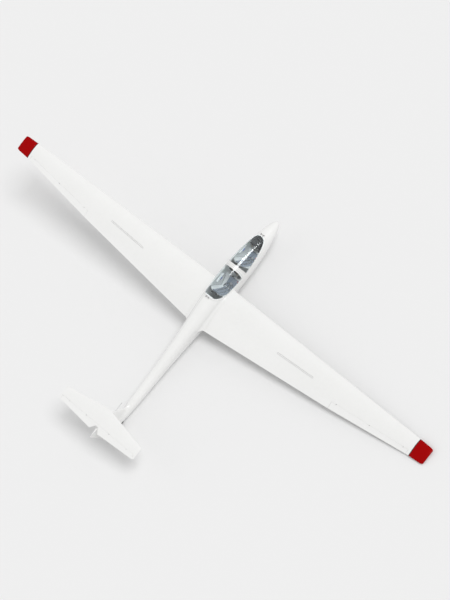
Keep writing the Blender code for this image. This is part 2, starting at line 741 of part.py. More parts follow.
def aileron_section(s):
    """Axis y and z, nose radius, trailing edge and belly half thickness of the aileron at a station."""
    edge, chord, thick, camber = straight(WING, s)
    axis_z = camber * camber_line(AILERON_HINGE)
    nose = thick * half_thickness(AILERON_HINGE)
    belly = thick * half_thickness((1 + AILERON_HINGE) / 2)
    return edge + AILERON_HINGE * chord, axis_z, nose, edge + chord, belly


def make_aileron(side, label, wing):
    def flap(s):
        axis_y, axis_z, nose, end, belly = aileron_section(s)
        return flap_outline(axis_y, axis_z, nose, end, 0, belly)

    def cove(s):
        axis_y, axis_z, nose, end, _ = aileron_section(s)
        return cove_outline(axis_y, axis_z, nose, end + 0.1, 0.2)

    inner, outer = AILERON_SPAN
    aileron = loft(f"aileron_{label}", wing_rings(side, AILERON_SPAN, flap), WHITE)
    cut(wing, loft(f"aileron_cove_{label}", wing_rings(side, (inner - GAP, outer + GAP), cove)))
    ends = [wing_point(side, s, *aileron_section(s)[:2]) for s in AILERON_SPAN]
    noses = [aileron_section(s)[2] for s in AILERON_SPAN]
    control_hinges(wing, aileron, ends[0], ends[1], (0.06, 0.50, 0.94), noses)
    return pivot(aileron, ends[0])


def brake_place(side):
    """The airbrake's frame, X outboard along the slot, Y aft and Z up from the skin, and its length."""
    ends = []
    for s in BRAKE_SPAN:
        edge, chord, _, _ = straight(WING, s)
        ends.append(wing_point(1, s, edge + BRAKE_CHORD * chord, surface_height(s, BRAKE_CHORD, 1)))
    frame = hinge_frame(ends[0], ends[1] - ends[0], (0, 1, 0))
    return Matrix.Diagonal((side, 1, 1, 1)) @ frame, (ends[1] - ends[0]).length


def brake_pivots(length):
    """X and Z of the arms' lower and upper pins in the airbrake's frame, with the brake shut."""
    reach = BRAKE_ARM * math.cos(BRAKE_ARM_REST)
    rise = BRAKE_ARM * math.sin(BRAKE_ARM_REST)
    lower = [(x, -BRAKE_PIVOT_DEPTH) for x in (BRAKE_ARM_INSET, length - BRAKE_ARM_INSET - reach)]
    return lower, [(x + reach, z + rise) for x, z in lower]


def make_airbrake(side, label, wing):
    """A blade with its cap flush in the wing's skin, on two arms that swing up and inboard."""
    frame, length = brake_place(side)
    cut(wing, block(
        f"brake_slot_{label}",
        (0, -BRAKE_SLOT_HALF, -BRAKE_DEPTH),
        (length, BRAKE_SLOT_HALF, 0.05),
        matrix=frame,
    ))
    station = sum(BRAKE_SPAN) / 2
    fall = surface_height(station, 0.50, 1) - surface_height(station, 0.54, 1)
    slope = math.atan2(fall, 0.04 * straight(WING, station)[1])
    shift = BRAKE_ARM * (math.cos(BRAKE_ARM_REST) - math.cos(BRAKE_ARM_REST + math.radians(BRAKE_ARM_OPEN)))
    half = BRAKE_BLADE_THICK / 2
    blade = block(
        f"airbrake_{label}",
        (shift + 2 * GAP, -half, -BRAKE_BLADE_FOOT),
        (length - 2 * GAP, half, -BRAKE_CAP_THICK / 2),
        WHITE,
        frame,
    )
    cap = block(
        f"brake_cap_{label}",
        (GAP, GAP - BRAKE_SLOT_HALF, -BRAKE_CAP_THICK),
        (length - GAP, BRAKE_SLOT_HALF - GAP, 0),
        matrix=frame @ Matrix.Rotation(-slope, 4, "X"),
    )
    join(blade, cap)
    lower, upper = brake_pivots(length)
    arm_y = -half - GAP - BRAKE_ARM_THICK / 2
    upright = Matrix(((1, 0, 0, 0), (0, 0, 1, arm_y), (0, 1, 0, 0), (0, 0, 0, 1)))
    arms = []
    for place, (low_x, low_z), (up_x, up_z) in zip(("inner", "outer"), lower, upper):
        outline = []
        for i in range(9):
            angle = math.pi / 2 + BRAKE_ARM_REST + math.pi * i / 8
            outline.append((low_x + BRAKE_ARM_HALF * math.cos(angle), low_z + BRAKE_ARM_HALF * math.sin(angle)))
        for i in range(9):
            angle = -math.pi / 2 + BRAKE_ARM_REST + math.pi * i / 8
            outline.append((up_x + BRAKE_ARM_HALF * math.cos(angle), up_z + BRAKE_ARM_HALF * math.sin(angle)))
        arm = plate(f"airbrake_{place}_arm_{label}", outline, BRAKE_ARM_THICK / 2, frame @ upright, STEEL)
        pin = ((up_x, arm_y, up_z), (up_x, half + 0.0035, up_z))
        join(arm, rods(f"brake_{place}_pin_{label}", [placed(frame, pin)], PIN_RADIUS, segments=12))
        hole = ((up_x, -2 * half, up_z), (up_x, 2 * half, up_z))
        wide = PIN_RADIUS + BORE_PLAY
        cut(blade, rods(f"brake_{place}_hole_{label}", [placed(frame, hole)], wide, segments=12))
        stud = ((low_x, -BRAKE_SLOT_HALF - 0.006, low_z), (low_x, arm_y + 0.004, low_z))
        join(wing, rods(f"brake_{place}_stud_{label}", [placed(frame, stud)], PIN_RADIUS, segments=12))
        bore = ((low_x, arm_y - 0.006, low_z), (low_x, arm_y + 0.006, low_z))
        cut(arm, rods(f"brake_{place}_bore_{label}", [placed(frame, bore)], wide, segments=12))
        arms.append(pivot(arm, frame @ Vector((low_x, arm_y, low_z))))
    pivot(blade, frame @ Vector((upper[0][0], 0, upper[0][1])))
    return blade, arms


def placed(frame, points):
    return [frame @ Vector(point) for point in points]


def make_wing(side, label):
    wing = loft(f"wing_{label}", wing_rings(side, [row[0] for row in WING], wing_outline), WHITE)
    make_aileron(side, label, wing)
    make_airbrake(side, label, wing)
    stations = [row[0] for row in WING_TIP]
    stations[0] += SEAT_GAP
    tip = loft(f"wing_tip_{label}", wing_rings(side, stations, tip_outline), RED)
    station, y, radius, half, sunk = SKID
    edge, chord, thick, camber = straight(WING_TIP, station)
    share = (y - edge) / chord
    under = camber * camber_line(share) - thick * half_thickness(share)
    foot = wing_point(side, station, y, under)
    skid = prism(f"tip_skid_{label}", skid_outline(y, foot.z + sunk, radius), half, BLACK, foot.x)
    grown = skid_outline(y, foot.z + sunk + SEAT_GAP, radius + SEAT_GAP)
    cut(tip, prism(f"skid_slot_{label}", grown, half + SEAT_GAP, centre_x=foot.x))
    return wing, tip, skid


def skid_outline(y, z, radius):
    """The lower half of a disc."""
    steps = [math.pi + math.pi * i / 12 for i in range(13)]
    return [(y + radius * math.cos(angle), z + radius * math.sin(angle)) for angle in steps]


# Canopies

def make_canopy(label, opening, fuselage, hinge, facing, slope):
    outer = inset_outline(opening, CANOPY_SHUT_LINE)
    inner = inset_outline(opening, CANOPY_SHUT_LINE + FRAME_WIDTH)
    pane = inset_outline(opening, CANOPY_SHUT_LINE + FRAME_WIDTH + SEAT_GAP)
    longer = [CANOPY_STATIONS[0] - GAP] + CANOPY_STATIONS[1:-1] + [CANOPY_STATIONS[-1] + GAP]
    frame = hull_loft(f"canopy_frame_{label}", CANOPY_STATIONS, look=WHITE)
    cut(frame, hull_loft(f"frame_inside_{label}", longer, FRAME_DEPTH))
    keep_inside(frame, prism(f"frame_edge_{label}", outer, BEYOND))
    cut(frame, prism(f"frame_window_{label}", inner, BEYOND))
    canopy_hinge(fuselage, frame, hinge, facing, slope, f"canopy_{label}")
    glass = hull_loft(f"canopy_glass_{label}", CANOPY_STATIONS, GLASS_INSET, CLEAR)
    cut(glass, hull_loft(f"glass_inside_{label}", longer, GLASS_INSET + GLASS_THICK))
    keep_inside(glass, prism(f"glass_edge_{label}", pane, BEYOND))
    return pivot(frame, (0, *hinge)), glass


# Cockpit

def bent_plate(points, thick):
    """The outline of a plate bent along points, thick to their left."""
    outer = []
    for i, here in enumerate(points):
        here = Vector(here)
        before = Vector(points[max(i - 1, 0)])
        after = Vector(points[min(i + 1, len(points) - 1)])
        along = (after - before).normalized()
        outer.append(tuple(here + Vector((-along.y, along.x)) * thick))
    return list(points) + outer[::-1]


def inside_hull(obj):
    """Trims a piece to the inside of the cockpit."""
    keep_inside(obj, hull_loft(obj.name + "_room", CABIN_STATIONS, HULL_WALL + ROOM_GAP))
    return cut(obj, *housing_cutters(ROOM_GAP, obj.name))


def make_seats():
    """Two bent seat shells across the cockpit, each with a cushion laid along it."""
    for label, line in (("front", FRONT_SEAT), ("rear", REAR_SEAT)):
        inside_hull(prism(f"{label}_seat", bent_plate(line, SEAT_THICK), CABIN_HALF, GREY))
        lifted = bent_plate(line, SEAT_THICK + CUSHION_GAP)[len(line):][::-1]
        prism(f"{label}_cushion", bent_plate(lifted, CUSHION_THICK), CUSHION_HALF, CLOTH)


def make_floor():
    low = (-CABIN_HALF, FLOOR_START_Y, FLOOR_Z - FLOOR_THICK)
    inside_hull(block("cockpit_floor", low, (CABIN_HALF, FLOOR_END_Y, FLOOR_Z), GREY))


def make_panels():
    """Instrument pods on their pedestals."""
    for label, outline, half, start, end, top in PODS:
        pod = prism(f"{label}_instrument_pod", outline, half, BLACK)
        low = (-POD_FOOT_HALF, start, FLOOR_Z + SEAT_GAP)
        join(pod, block(f"{label}_pod_foot", low, (POD_FOOT_HALF, end, top)))
        inside_hull(pod)


def make_controls():
    """Sticks, rudder pedals and airbrake levers, front and rear."""
    for label, stick_y, pedal_y, pedal_z, lever_y in CONTROLS:
        line = [(0, stick_y + aft, FLOOR_Z + up) for aft, up in STICK_LINE]
        lengths = list(zip(line, line[1:]))
        stick = rods(f"{label}_stick", lengths[:1], STICK_RADII[0], STEEL)
        join(stick, rods(f"{label}_stick_shank", lengths[1:2], STICK_RADII[1], segments=14))
        join(stick, rods(f"{label}_stick_grip", lengths[2:], STICK_RADII[2]))
        boot = [((0, stick_y, FLOOR_Z + SEAT_GAP), (0, stick_y, FLOOR_Z + BOOT_TALL))]
        join(stick, rods(f"{label}_stick_base", boot, BOOT_RADIUS, segments=20))

        ends = ((-CABIN_HALF, pedal_y, pedal_z), (CABIN_HALF, pedal_y, pedal_z))
        pedals = rods(f"{label}_pedals", [ends], PEDAL_BAR, STEEL, segments=12)
        for side in (-1, 1):
            middle = side * PEDAL_X
            low = (middle - PEDAL_HALF, pedal_y - 0.006, pedal_z - PEDAL_DROP)
            high = (middle + PEDAL_HALF, pedal_y + 0.003, pedal_z)
            join(pedals, block(f"{label}_pedal_{side}", low, high))
        inside_hull(pedals)

        low = (LEVER_X, lever_y - RAIL_HALF_LONG, LEVER_Z - RAIL_HALF_TALL)
        high = (CABIN_HALF, lever_y + RAIL_HALF_LONG, LEVER_Z + RAIL_HALF_TALL)
        lever = block(f"{label}_brake_lever", low, high, STEEL)
        low = (LEVER_X - HANDLE_STANDS, lever_y - HANDLE_HALF_LONG, LEVER_Z - HANDLE_HALF_TALL)
        high = (LEVER_X + 0.004, lever_y + HANDLE_HALF_LONG, LEVER_Z + HANDLE_HALF_TALL)
        join(lever, block(f"{label}_lever_handle", low, high))
        inside_hull(lever)


# Wheels

def make_wheel(label, spec):
    """A tyre on its hub, both turning on an axle between two fork plates that reach the well's roof."""
    y, z, radius, half, well_radius, _, fork_half = spec
    flank = [(half * wide, radius * high) for wide, high in TYRE_FLANK]
    turned(f"{label}_tyre", flank + [(-x, r) for x, r in flank[::-1]], (0, y, z), RUBBER)
    seat, bead = flank[0]
    bore = AXLE_RADIUS + BORE_PLAY
    boss, rim, hub_half = bore + HUB_BOSS, bead - HUB_RIM, half * HUB_HALF_SHARE
    profile = [(hub_half, bore), (hub_half, boss), (HUB_WEB_HALF, boss), (HUB_WEB_HALF, rim)]
    profile += [(seat, rim), (seat, bead - SEAT_GAP)]
    turned(f"{label}_hub", profile + [(-x, r) for x, r in profile[::-1]], (0, y, z), ALLOY)
    inner = half + GAP
    outer = inner + FORK_PLATE
    reach = well_radius - fork_half * math.tan(math.pi / 2 / WELL_STEPS) - SEAT_GAP
    fork = rods(f"{label}_fork", [((-outer, y, z), (outer, y, z))], AXLE_RADIUS, STEEL)
    for side in (-1, 1):
        near, far = sorted((side * inner, side * outer))
        plate_low, plate_high = (near, y - fork_half, z - fork_half), (far, y + fork_half, z + reach)
        join(fork, block(f"{label}_fork_plate_{side}", plate_low, plate_high))


# Small fittings

def make_fittings(front, rear):
    """Tow hooks under the nose and the belly, and the probe on the fin."""
    for label, start, end, depth in HOOKS:
        bottom = min(smooth(FUSELAGE, 3, start), smooth(FUSELAGE, 3, end))
        low = (-HOOK_HALF, start, bottom - HOOK_STANDS)
        high = (HOOK_HALF, end, bottom + depth)
        hook = block(f"{label}_tow_hook", low, high, STEEL)
        y, z = (start + end) / 2 - HOOK_MOUTH, bottom - HOOK_STANDS / 2
        mouth = [((-BEYOND, y, z), (BEYOND, y, z))]
        cut(hook, rods(f"{label}_hook_mouth", mouth, HOOK_MOUTH, segments=12))
        gap = Vector((SEAT_GAP,) * 3)
        cut(front, block(f"{label}_hook_pocket", Vector(low) - gap, Vector(high) + gap))
    edge = straight(FIN, PROBE_Z)[0]
    tip, root = (0, edge - PROBE_REACH, PROBE_Z), (0, edge + PROBE_ROOT, PROBE_Z)
    rods("fin_probe", [(tip, root)], PROBE_RADIUS, STEEL, segments=12)
    start, end = (0, edge - PROBE_ROOT, PROBE_Z), (0, edge + PROBE_ROOT + SEAT_GAP, PROBE_Z)
    cut(rear, rods("probe_bore", [(start, end)], PROBE_RADIUS + SEAT_GAP, segments=12))


# Parked attitude

def evaluated_points(name):
    """World points of an object with its modifiers."""
    graph = bpy.context.evaluated_depsgraph_get()
    obj = bpy.data.objects[name].evaluated_get(graph)
    mesh = obj.to_mesh()
    points = [obj.matrix_world @ vertex.co for vertex in mesh.vertices]
    obj.to_mesh_clear()
    return points


def park():
    """Sets the aircraft on its main tyre, its tail tyre and its right tip skid, over the world's origin."""
    bpy.context.view_layer.update()
    feet = [evaluated_points(name) for name in ("main_tyre", "tail_tyre", "tip_skid_right")]
    up = Vector((0, 0, 1))
    for _ in range(12):
        main, tail, tip = [min(points, key=up.dot) for points in feet]
        up = (tip - main).cross(tail - main).normalized()
        if up.z < 0:
            up = -up
    turn = up.rotation_difference(Vector((0, 0, 1))).to_matrix().to_4x4()
    ATTITUDE.matrix_world = turn
    bpy.context.view_layer.update()
    low, high = Vector((1e9,) * 3), Vector((-1e9,) * 3)
    for obj in PARTS.objects:
        if obj.type != "MESH":
            continue
        for point in evaluated_points(obj.name):
            low = Vector(map(min, low, point))
            high = Vector(map(max, high, point))
    middle = (low + high) / 2
    ATTITUDE.matrix_world = Matrix.Translation((-middle.x, -middle.y, -low.z)) @ turn


def main():
    front, rear = make_fuselage()
    make_rudder(rear)
    make_tailplane()
    for side, label in ((1, "left"), (-1, "right")):
        make_wing(side, label)
    make_canopy("front", front_opening(), front, FRONT_HINGE, 1, FRONT_HINGE_SLOPE)
    make_canopy("rear", rear_opening(), front, REAR_HINGE, -1, REAR_HINGE_SLOPE)
    make_floor()
    make_seats()
    make_panels()
    make_controls()
    for label, spec in (("main", MAIN_WHEEL), ("nose", NOSE_WHEEL), ("tail", TAIL_WHEEL)):
        make_wheel(label, spec)
    make_fittings(front, rear)
    park()


main()
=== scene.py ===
import json
import math

import bmesh
import bpy
import numpy as np
from mathutils import Matrix, Vector
from mathutils.bvhtree import BVHTree


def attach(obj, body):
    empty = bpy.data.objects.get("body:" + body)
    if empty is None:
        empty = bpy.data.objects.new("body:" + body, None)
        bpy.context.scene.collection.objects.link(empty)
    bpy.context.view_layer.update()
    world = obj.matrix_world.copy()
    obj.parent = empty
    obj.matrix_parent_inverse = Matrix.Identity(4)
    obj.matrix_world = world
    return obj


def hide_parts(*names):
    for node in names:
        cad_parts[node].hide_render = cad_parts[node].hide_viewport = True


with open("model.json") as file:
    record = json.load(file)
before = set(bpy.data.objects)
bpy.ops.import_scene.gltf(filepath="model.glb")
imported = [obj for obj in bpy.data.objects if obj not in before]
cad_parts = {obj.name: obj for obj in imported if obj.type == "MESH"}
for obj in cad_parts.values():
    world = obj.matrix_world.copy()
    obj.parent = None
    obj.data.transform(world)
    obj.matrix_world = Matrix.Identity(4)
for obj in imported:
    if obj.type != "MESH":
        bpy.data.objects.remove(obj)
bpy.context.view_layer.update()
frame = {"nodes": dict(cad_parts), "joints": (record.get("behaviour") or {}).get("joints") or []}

# The aircraft's own frame: x to the left wing, y aft from the nose, z up, all in metres.
# Its wheels' axles, as (y, z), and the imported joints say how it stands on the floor.
wheels = {
    "main": {"y": 3.120, "z": -0.452, "radius": 0.180, "half": 0.062, "well": 0.212, "wellHalf": 0.082},
    "nose": {"y": 0.800, "z": -0.418, "radius": 0.150, "half": 0.050, "well": 0.172, "wellHalf": 0.064},
    "tail": {"y": 7.700, "z": -0.130, "radius": 0.100, "half": 0.032, "well": 0.114, "wellHalf": 0.048},
}
jointNamed = {joint["name"]: joint for joint in frame["joints"]}


# Two axles and the elevator's axis fix the aircraft's x, y and z in the row's frame, and its origin.
def findAttitude():
    main, tail = wheels["main"], wheels["tail"]
    mainAt = np.array(jointNamed["main_wheel_spin"]["pos_m"])
    tailAt = np.array(jointNamed["tail_wheel_spin"]["pos_m"])
    across = np.array(jointNamed["elevator_hinge"]["axis"])
    along = (tailAt - mainAt) / np.linalg.norm(tailAt - mainAt)
    over = np.cross(across, along)
    lean = math.atan2(tail["z"] - main["z"], tail["y"] - main["y"])
    aft = math.cos(lean) * along - math.sin(lean) * over
    up = math.sin(lean) * along + math.cos(lean) * over
    return np.stack([across, aft, up]), mainAt - main["y"] * aft - main["z"] * up


axes, nosePoint = findAttitude()


def toRow(points):  # the aircraft's frame to the row's
    return np.asarray(points, float).reshape(-1, 3) @ axes + nosePoint

# Lines of the fuselage: distance from the nose, half width, top, bottom, height of the widest point
hull = {
    "stations": np.array([
        (0.00, 0.000, -0.170, -0.170, -0.170),
        (0.05, 0.072, -0.095, -0.252, -0.170),
        (0.20, 0.146, -0.020, -0.330, -0.162),
        (0.50, 0.226, 0.080, -0.402, -0.145),
        (0.90, 0.293, 0.215, -0.453, -0.115),
        (1.40, 0.340, 0.362, -0.484, -0.080),
        (2.00, 0.362, 0.462, -0.500, -0.050),
        (2.60, 0.360, 0.492, -0.500, -0.030),
        (3.20, 0.335, 0.455, -0.472, -0.010),
        (3.80, 0.285, 0.385, -0.412, 0.000),
        (4.40, 0.232, 0.312, -0.340, 0.000),
        (5.20, 0.190, 0.245, -0.266, 0.000),
        (6.20, 0.160, 0.195, -0.200, 0.000),
        (7.20, 0.130, 0.160, -0.146, 0.004),
        (8.10, 0.042, 0.118, -0.090, 0.010),
    ]),
    "roundness": 2.25,
    "wall": 0.020,
    "around": 112,
    "splitY": 4.45,
    "endY": 7.972,
    "cabin": (0.28, 3.03),
}
# Wing by span station: leading edge, chord, thickness, camber
wing = {
    "rows": np.array([
        (0.40, 2.450, 1.525, 0.255, 0.040),
        (5.10, 2.520, 0.985, 0.150, 0.026),
        (8.00, 2.565, 0.575, 0.076, 0.014),
    ]),
    "dihedral": math.radians(3.9),
    "camberPeak": 0.40,
    "edgeThick": 0.004,
    "aileron": (5.16, 7.90),
    "aileronHinge": 0.78,
    "gap": 0.005,
    "brake": (2.85, 4.25),
    "brakeChord": 0.52,
    "slotHalf": 0.021,
    "slotDepth": 0.128,
}
seam = 0.0003  # between pieces that touch


# Hermite curve through the rows of a table over the root of y, with slopes from the neighbours
def hullValue(column, y):
    at = np.sqrt(hull["stations"][:, 0])
    value = hull["stations"][:, column]
    slope = np.gradient(value, at, edge_order=1)
    slope[1:-1] = (value[2:] - value[:-2]) / (at[2:] - at[:-2])
    u = np.sqrt(np.maximum(np.asarray(y, float), 0))
    i = np.clip(np.searchsorted(at, u, side="right") - 1, 0, len(at) - 2)
    wide = at[i + 1] - at[i]
    t = (u - at[i]) / wide
    return (
        value[i] * (2 * t**3 - 3 * t**2 + 1)
        + slope[i] * wide * (t**3 - 2 * t**2 + t)
        + value[i + 1] * (3 * t**2 - 2 * t**3)
        + slope[i + 1] * wide * (t**3 - t**2)
    )


# Superellipse round the station's widest point: x = half |cos|^(2/n), z = widest + tall |sin|^(2/n)
def hullPoints(y, angle, inset=0.0):
    y, angle, inset = np.broadcast_arrays(np.asarray(y, float), np.asarray(angle, float), inset)
    half, top = hullValue(1, y) - inset, hullValue(2, y) - inset
    bottom, widest = hullValue(3, y) + inset, hullValue(4, y)
    c, s = np.cos(angle), np.sin(angle)
    power = 2 / hull["roundness"]
    tall = np.where(s > 0, top - widest, widest - bottom)
    x = half * np.sign(c) * np.abs(c) ** power
    z = widest + tall * np.sign(s) * np.abs(s) ** power
    return np.stack([x, y, z], -1)


# Half of the four-digit thickness curve, for a greatest thickness of 1
def halfThickness(share):
    share = np.asarray(share, float)
    return 5 * (
        0.2969 * np.sqrt(share) - 0.1260 * share - 0.3516 * share**2 + 0.2843 * share**3 - 0.1036 * share**4
    )


# Two parabolas that meet at the camber's peak
def camberLine(share):
    share, peak = np.asarray(share, float), wing["camberPeak"]
    ahead = (2 * peak * share - share**2) / peak**2
    behind = (1 - 2 * peak + 2 * peak * share - share**2) / (1 - peak) ** 2
    return np.where(share < peak, ahead, behind)


def tableRow(rows, at):  # a table's other columns at a station, straight between rows
    return [np.interp(at, rows[:, 0], rows[:, k]) for k in range(1, rows.shape[1])]


# A section's skin at shares of its chord: y = edge + share chord, z = camber +- half thickness
def skinPoint(row, share, sign):
    edge, chord, thick, camber = row
    half = np.maximum(thick * halfThickness(share), wing["edgeThick"] / 2 * np.asarray(share))
    return edge + chord * np.asarray(share), camber * camberLine(share) + sign * half


def wingPoint(side, s, y, z):  # turned up by the dihedral
    c, d = math.cos(wing["dihedral"]), math.sin(wing["dihedral"])
    s, y, z = np.broadcast_arrays(np.asarray(s, float), y, z)
    return np.stack([side * (s * c - z * d), y, s * d + z * c], -1)


# Shading

def newMaterial(name):
    made = bpy.data.materials.new(name)
    made.use_nodes = True
    return made, made.node_tree.nodes, made.node_tree.links, made.node_tree.nodes["Principled BSDF"]


def groupTree(name, inputs, outputs):  # an empty node group with named sockets
    tree = bpy.data.node_groups.new(name, "ShaderNodeTree")
    for label, kind, value in inputs:
        socket = tree.interface.new_socket(name=label, in_out="INPUT", socket_type=kind)
        if value is not None:
            socket.default_value = value
    for label, kind in outputs:
        tree.interface.new_socket(name=label, in_out="OUTPUT", socket_type=kind)
    return tree, tree.nodes.new("NodeGroupInput"), tree.nodes.new("NodeGroupOutput")


def node(tree, kind, values=(), **settings):
    made = tree.nodes.new(kind)
    for key, value in settings.items():
        setattr(made, key, value)
    for index, value in dict(values).items():
        made.inputs[index].default_value = value
    return made


floatSocket, colorSocket, vectorSocket = "NodeSocketFloat", "NodeSocketColor", "NodeSocketVector"


# Cloudy change of colour and gloss: two noises, one broad and one fine, blend Clean into Worn
def makeMottle():
    tree, source, out = groupTree(
        "mottle",
        [
            ("Clean", colorSocket, (0.8, 0.8, 0.8, 1)),
            ("Worn", colorSocket, (0.7, 0.7, 0.7, 1)),
            ("Scale", floatSocket, 3.0),
            ("Amount", floatSocket, 0.5),
            ("Gloss", floatSocket, 0.2),
            ("Dull", floatSocket, 0.3),
        ],
        [("Color", colorSocket), ("Roughness", floatSocket), ("Mask", floatSocket)],
    )
    link = tree.links.new
    place = node(tree, "ShaderNodeTexCoord")
    broad = node(tree, "ShaderNodeTexNoise", {"Detail": 3.0, "Roughness": 0.55})
    fine = node(tree, "ShaderNodeTexNoise", {"Detail": 4.0, "Roughness": 0.6})
    finer = node(tree, "ShaderNodeMath", {1: 9.0}, operation="MULTIPLY")
    both = node(tree, "ShaderNodeMath", operation="MULTIPLY")
    spread = node(tree, "ShaderNodeMapRange", {"From Min": 0.16, "From Max": 0.40})
    share = node(tree, "ShaderNodeMath", operation="MULTIPLY")
    color = node(tree, "ShaderNodeMix", data_type="RGBA")
    gloss = node(tree, "ShaderNodeMix", data_type="FLOAT")
    link(place.outputs["Object"], broad.inputs["Vector"])
    link(place.outputs["Object"], fine.inputs["Vector"])
    link(source.outputs["Scale"], broad.inputs["Scale"])
    link(source.outputs["Scale"], finer.inputs[0])
    link(finer.outputs[0], fine.inputs["Scale"])
    link(broad.outputs["Fac"], both.inputs[0])
    link(fine.outputs["Fac"], both.inputs[1])
    link(both.outputs[0], spread.inputs["Value"])
    link(spread.outputs["Result"], share.inputs[0])
    link(source.outputs["Amount"], share.inputs[1])
    link(share.outputs[0], color.inputs["Factor"])
    link(source.outputs["Clean"], color.inputs["A"])
    link(source.outputs["Worn"], color.inputs["B"])
    link(share.outputs[0], gloss.inputs["Factor"])
    link(source.outputs["Gloss"], gloss.inputs["A"])
    link(source.outputs["Dull"], gloss.inputs["B"])
    link(color.outputs["Result"], out.inputs["Color"])
    link(gloss.outputs["Result"], out.inputs["Roughness"])
    link(share.outputs[0], out.inputs["Mask"])
    return tree


# Fine grain as a height: noise at one scale, with a second a sixth of its size over it
def makeGrain():
    tree, source, out = groupTree(
        "grain",
        [("Scale", floatSocket, 200.0), ("Coarse", floatSocket, 0.5)],
        [("Height", floatSocket)],
    )
    link = tree.links.new
    place = node(tree, "ShaderNodeTexCoord")
    small = node(tree, "ShaderNodeTexNoise", {"Detail": 2.0})
    large = node(tree, "ShaderNodeTexNoise", {"Detail": 2.0})
    wider = node(tree, "ShaderNodeMath", {1: 0.16}, operation="MULTIPLY")
    mixed = node(tree, "ShaderNodeMix", data_type="FLOAT")
    link(place.outputs["Object"], small.inputs["Vector"])
    link(place.outputs["Object"], large.inputs["Vector"])
    link(source.outputs["Scale"], small.inputs["Scale"])
    link(source.outputs["Scale"], wider.inputs[0])
    link(wider.outputs[0], large.inputs["Scale"])
    link(source.outputs["Coarse"], mixed.inputs["Factor"])
    link(small.outputs["Fac"], mixed.inputs["A"])
    link(large.outputs["Fac"], mixed.inputs["B"])
    link(mixed.outputs["Result"], out.inputs["Height"])
    return tree


# Plain weave on the piece's UV map in metres: sines across and along, each over and under the other
def makeWeave():
    tree, source, out = groupTree(
        "weave",
        [("Threads", floatSocket, 900.0), ("Depth", floatSocket, 1.0)],
        [("Height", floatSocket), ("PaintedHollowShade", floatSocket)],
    )
    link = tree.links.new
    place = node(tree, "ShaderNodeTexCoord")
    split = node(tree, "ShaderNodeSeparateXYZ")
    link(place.outputs["UV"], split.inputs[0])
    waves = []
    for axis in (0, 1):
        scaled = node(tree, "ShaderNodeMath", operation="MULTIPLY")
        wave = node(tree, "ShaderNodeMath", operation="SINE")
        link(split.outputs[axis], scaled.inputs[0])
        link(source.outputs["Threads"], scaled.inputs[1])
        link(scaled.outputs[0], wave.inputs[0])
        waves.append(wave)
    over = node(tree, "ShaderNodeMath", operation="MULTIPLY")
    height = node(tree, "ShaderNodeMath", operation="MULTIPLY")
    # painted shade: the over-and-under pattern of the height, from 0 in the hollows to 1 on top, darkens the
    # colour where the weave is low
    hollowShade = node(tree, "ShaderNodeMapRange", {"From Min": -1.0, "From Max": 1.0})
    link(waves[0].outputs[0], over.inputs[0])
    link(waves[1].outputs[0], over.inputs[1])
    link(over.outputs[0], height.inputs[0])
    link(source.outputs["Depth"], height.inputs[1])
    link(over.outputs[0], hollowShade.inputs["Value"])
    link(height.outputs[0], out.inputs["Height"])
    link(hollowShade.outputs["Result"], out.inputs["PaintedHollowShade"])
    return tree


groups = {"mottle": makeMottle(), "grain": makeGrain(), "weave": makeWeave()}

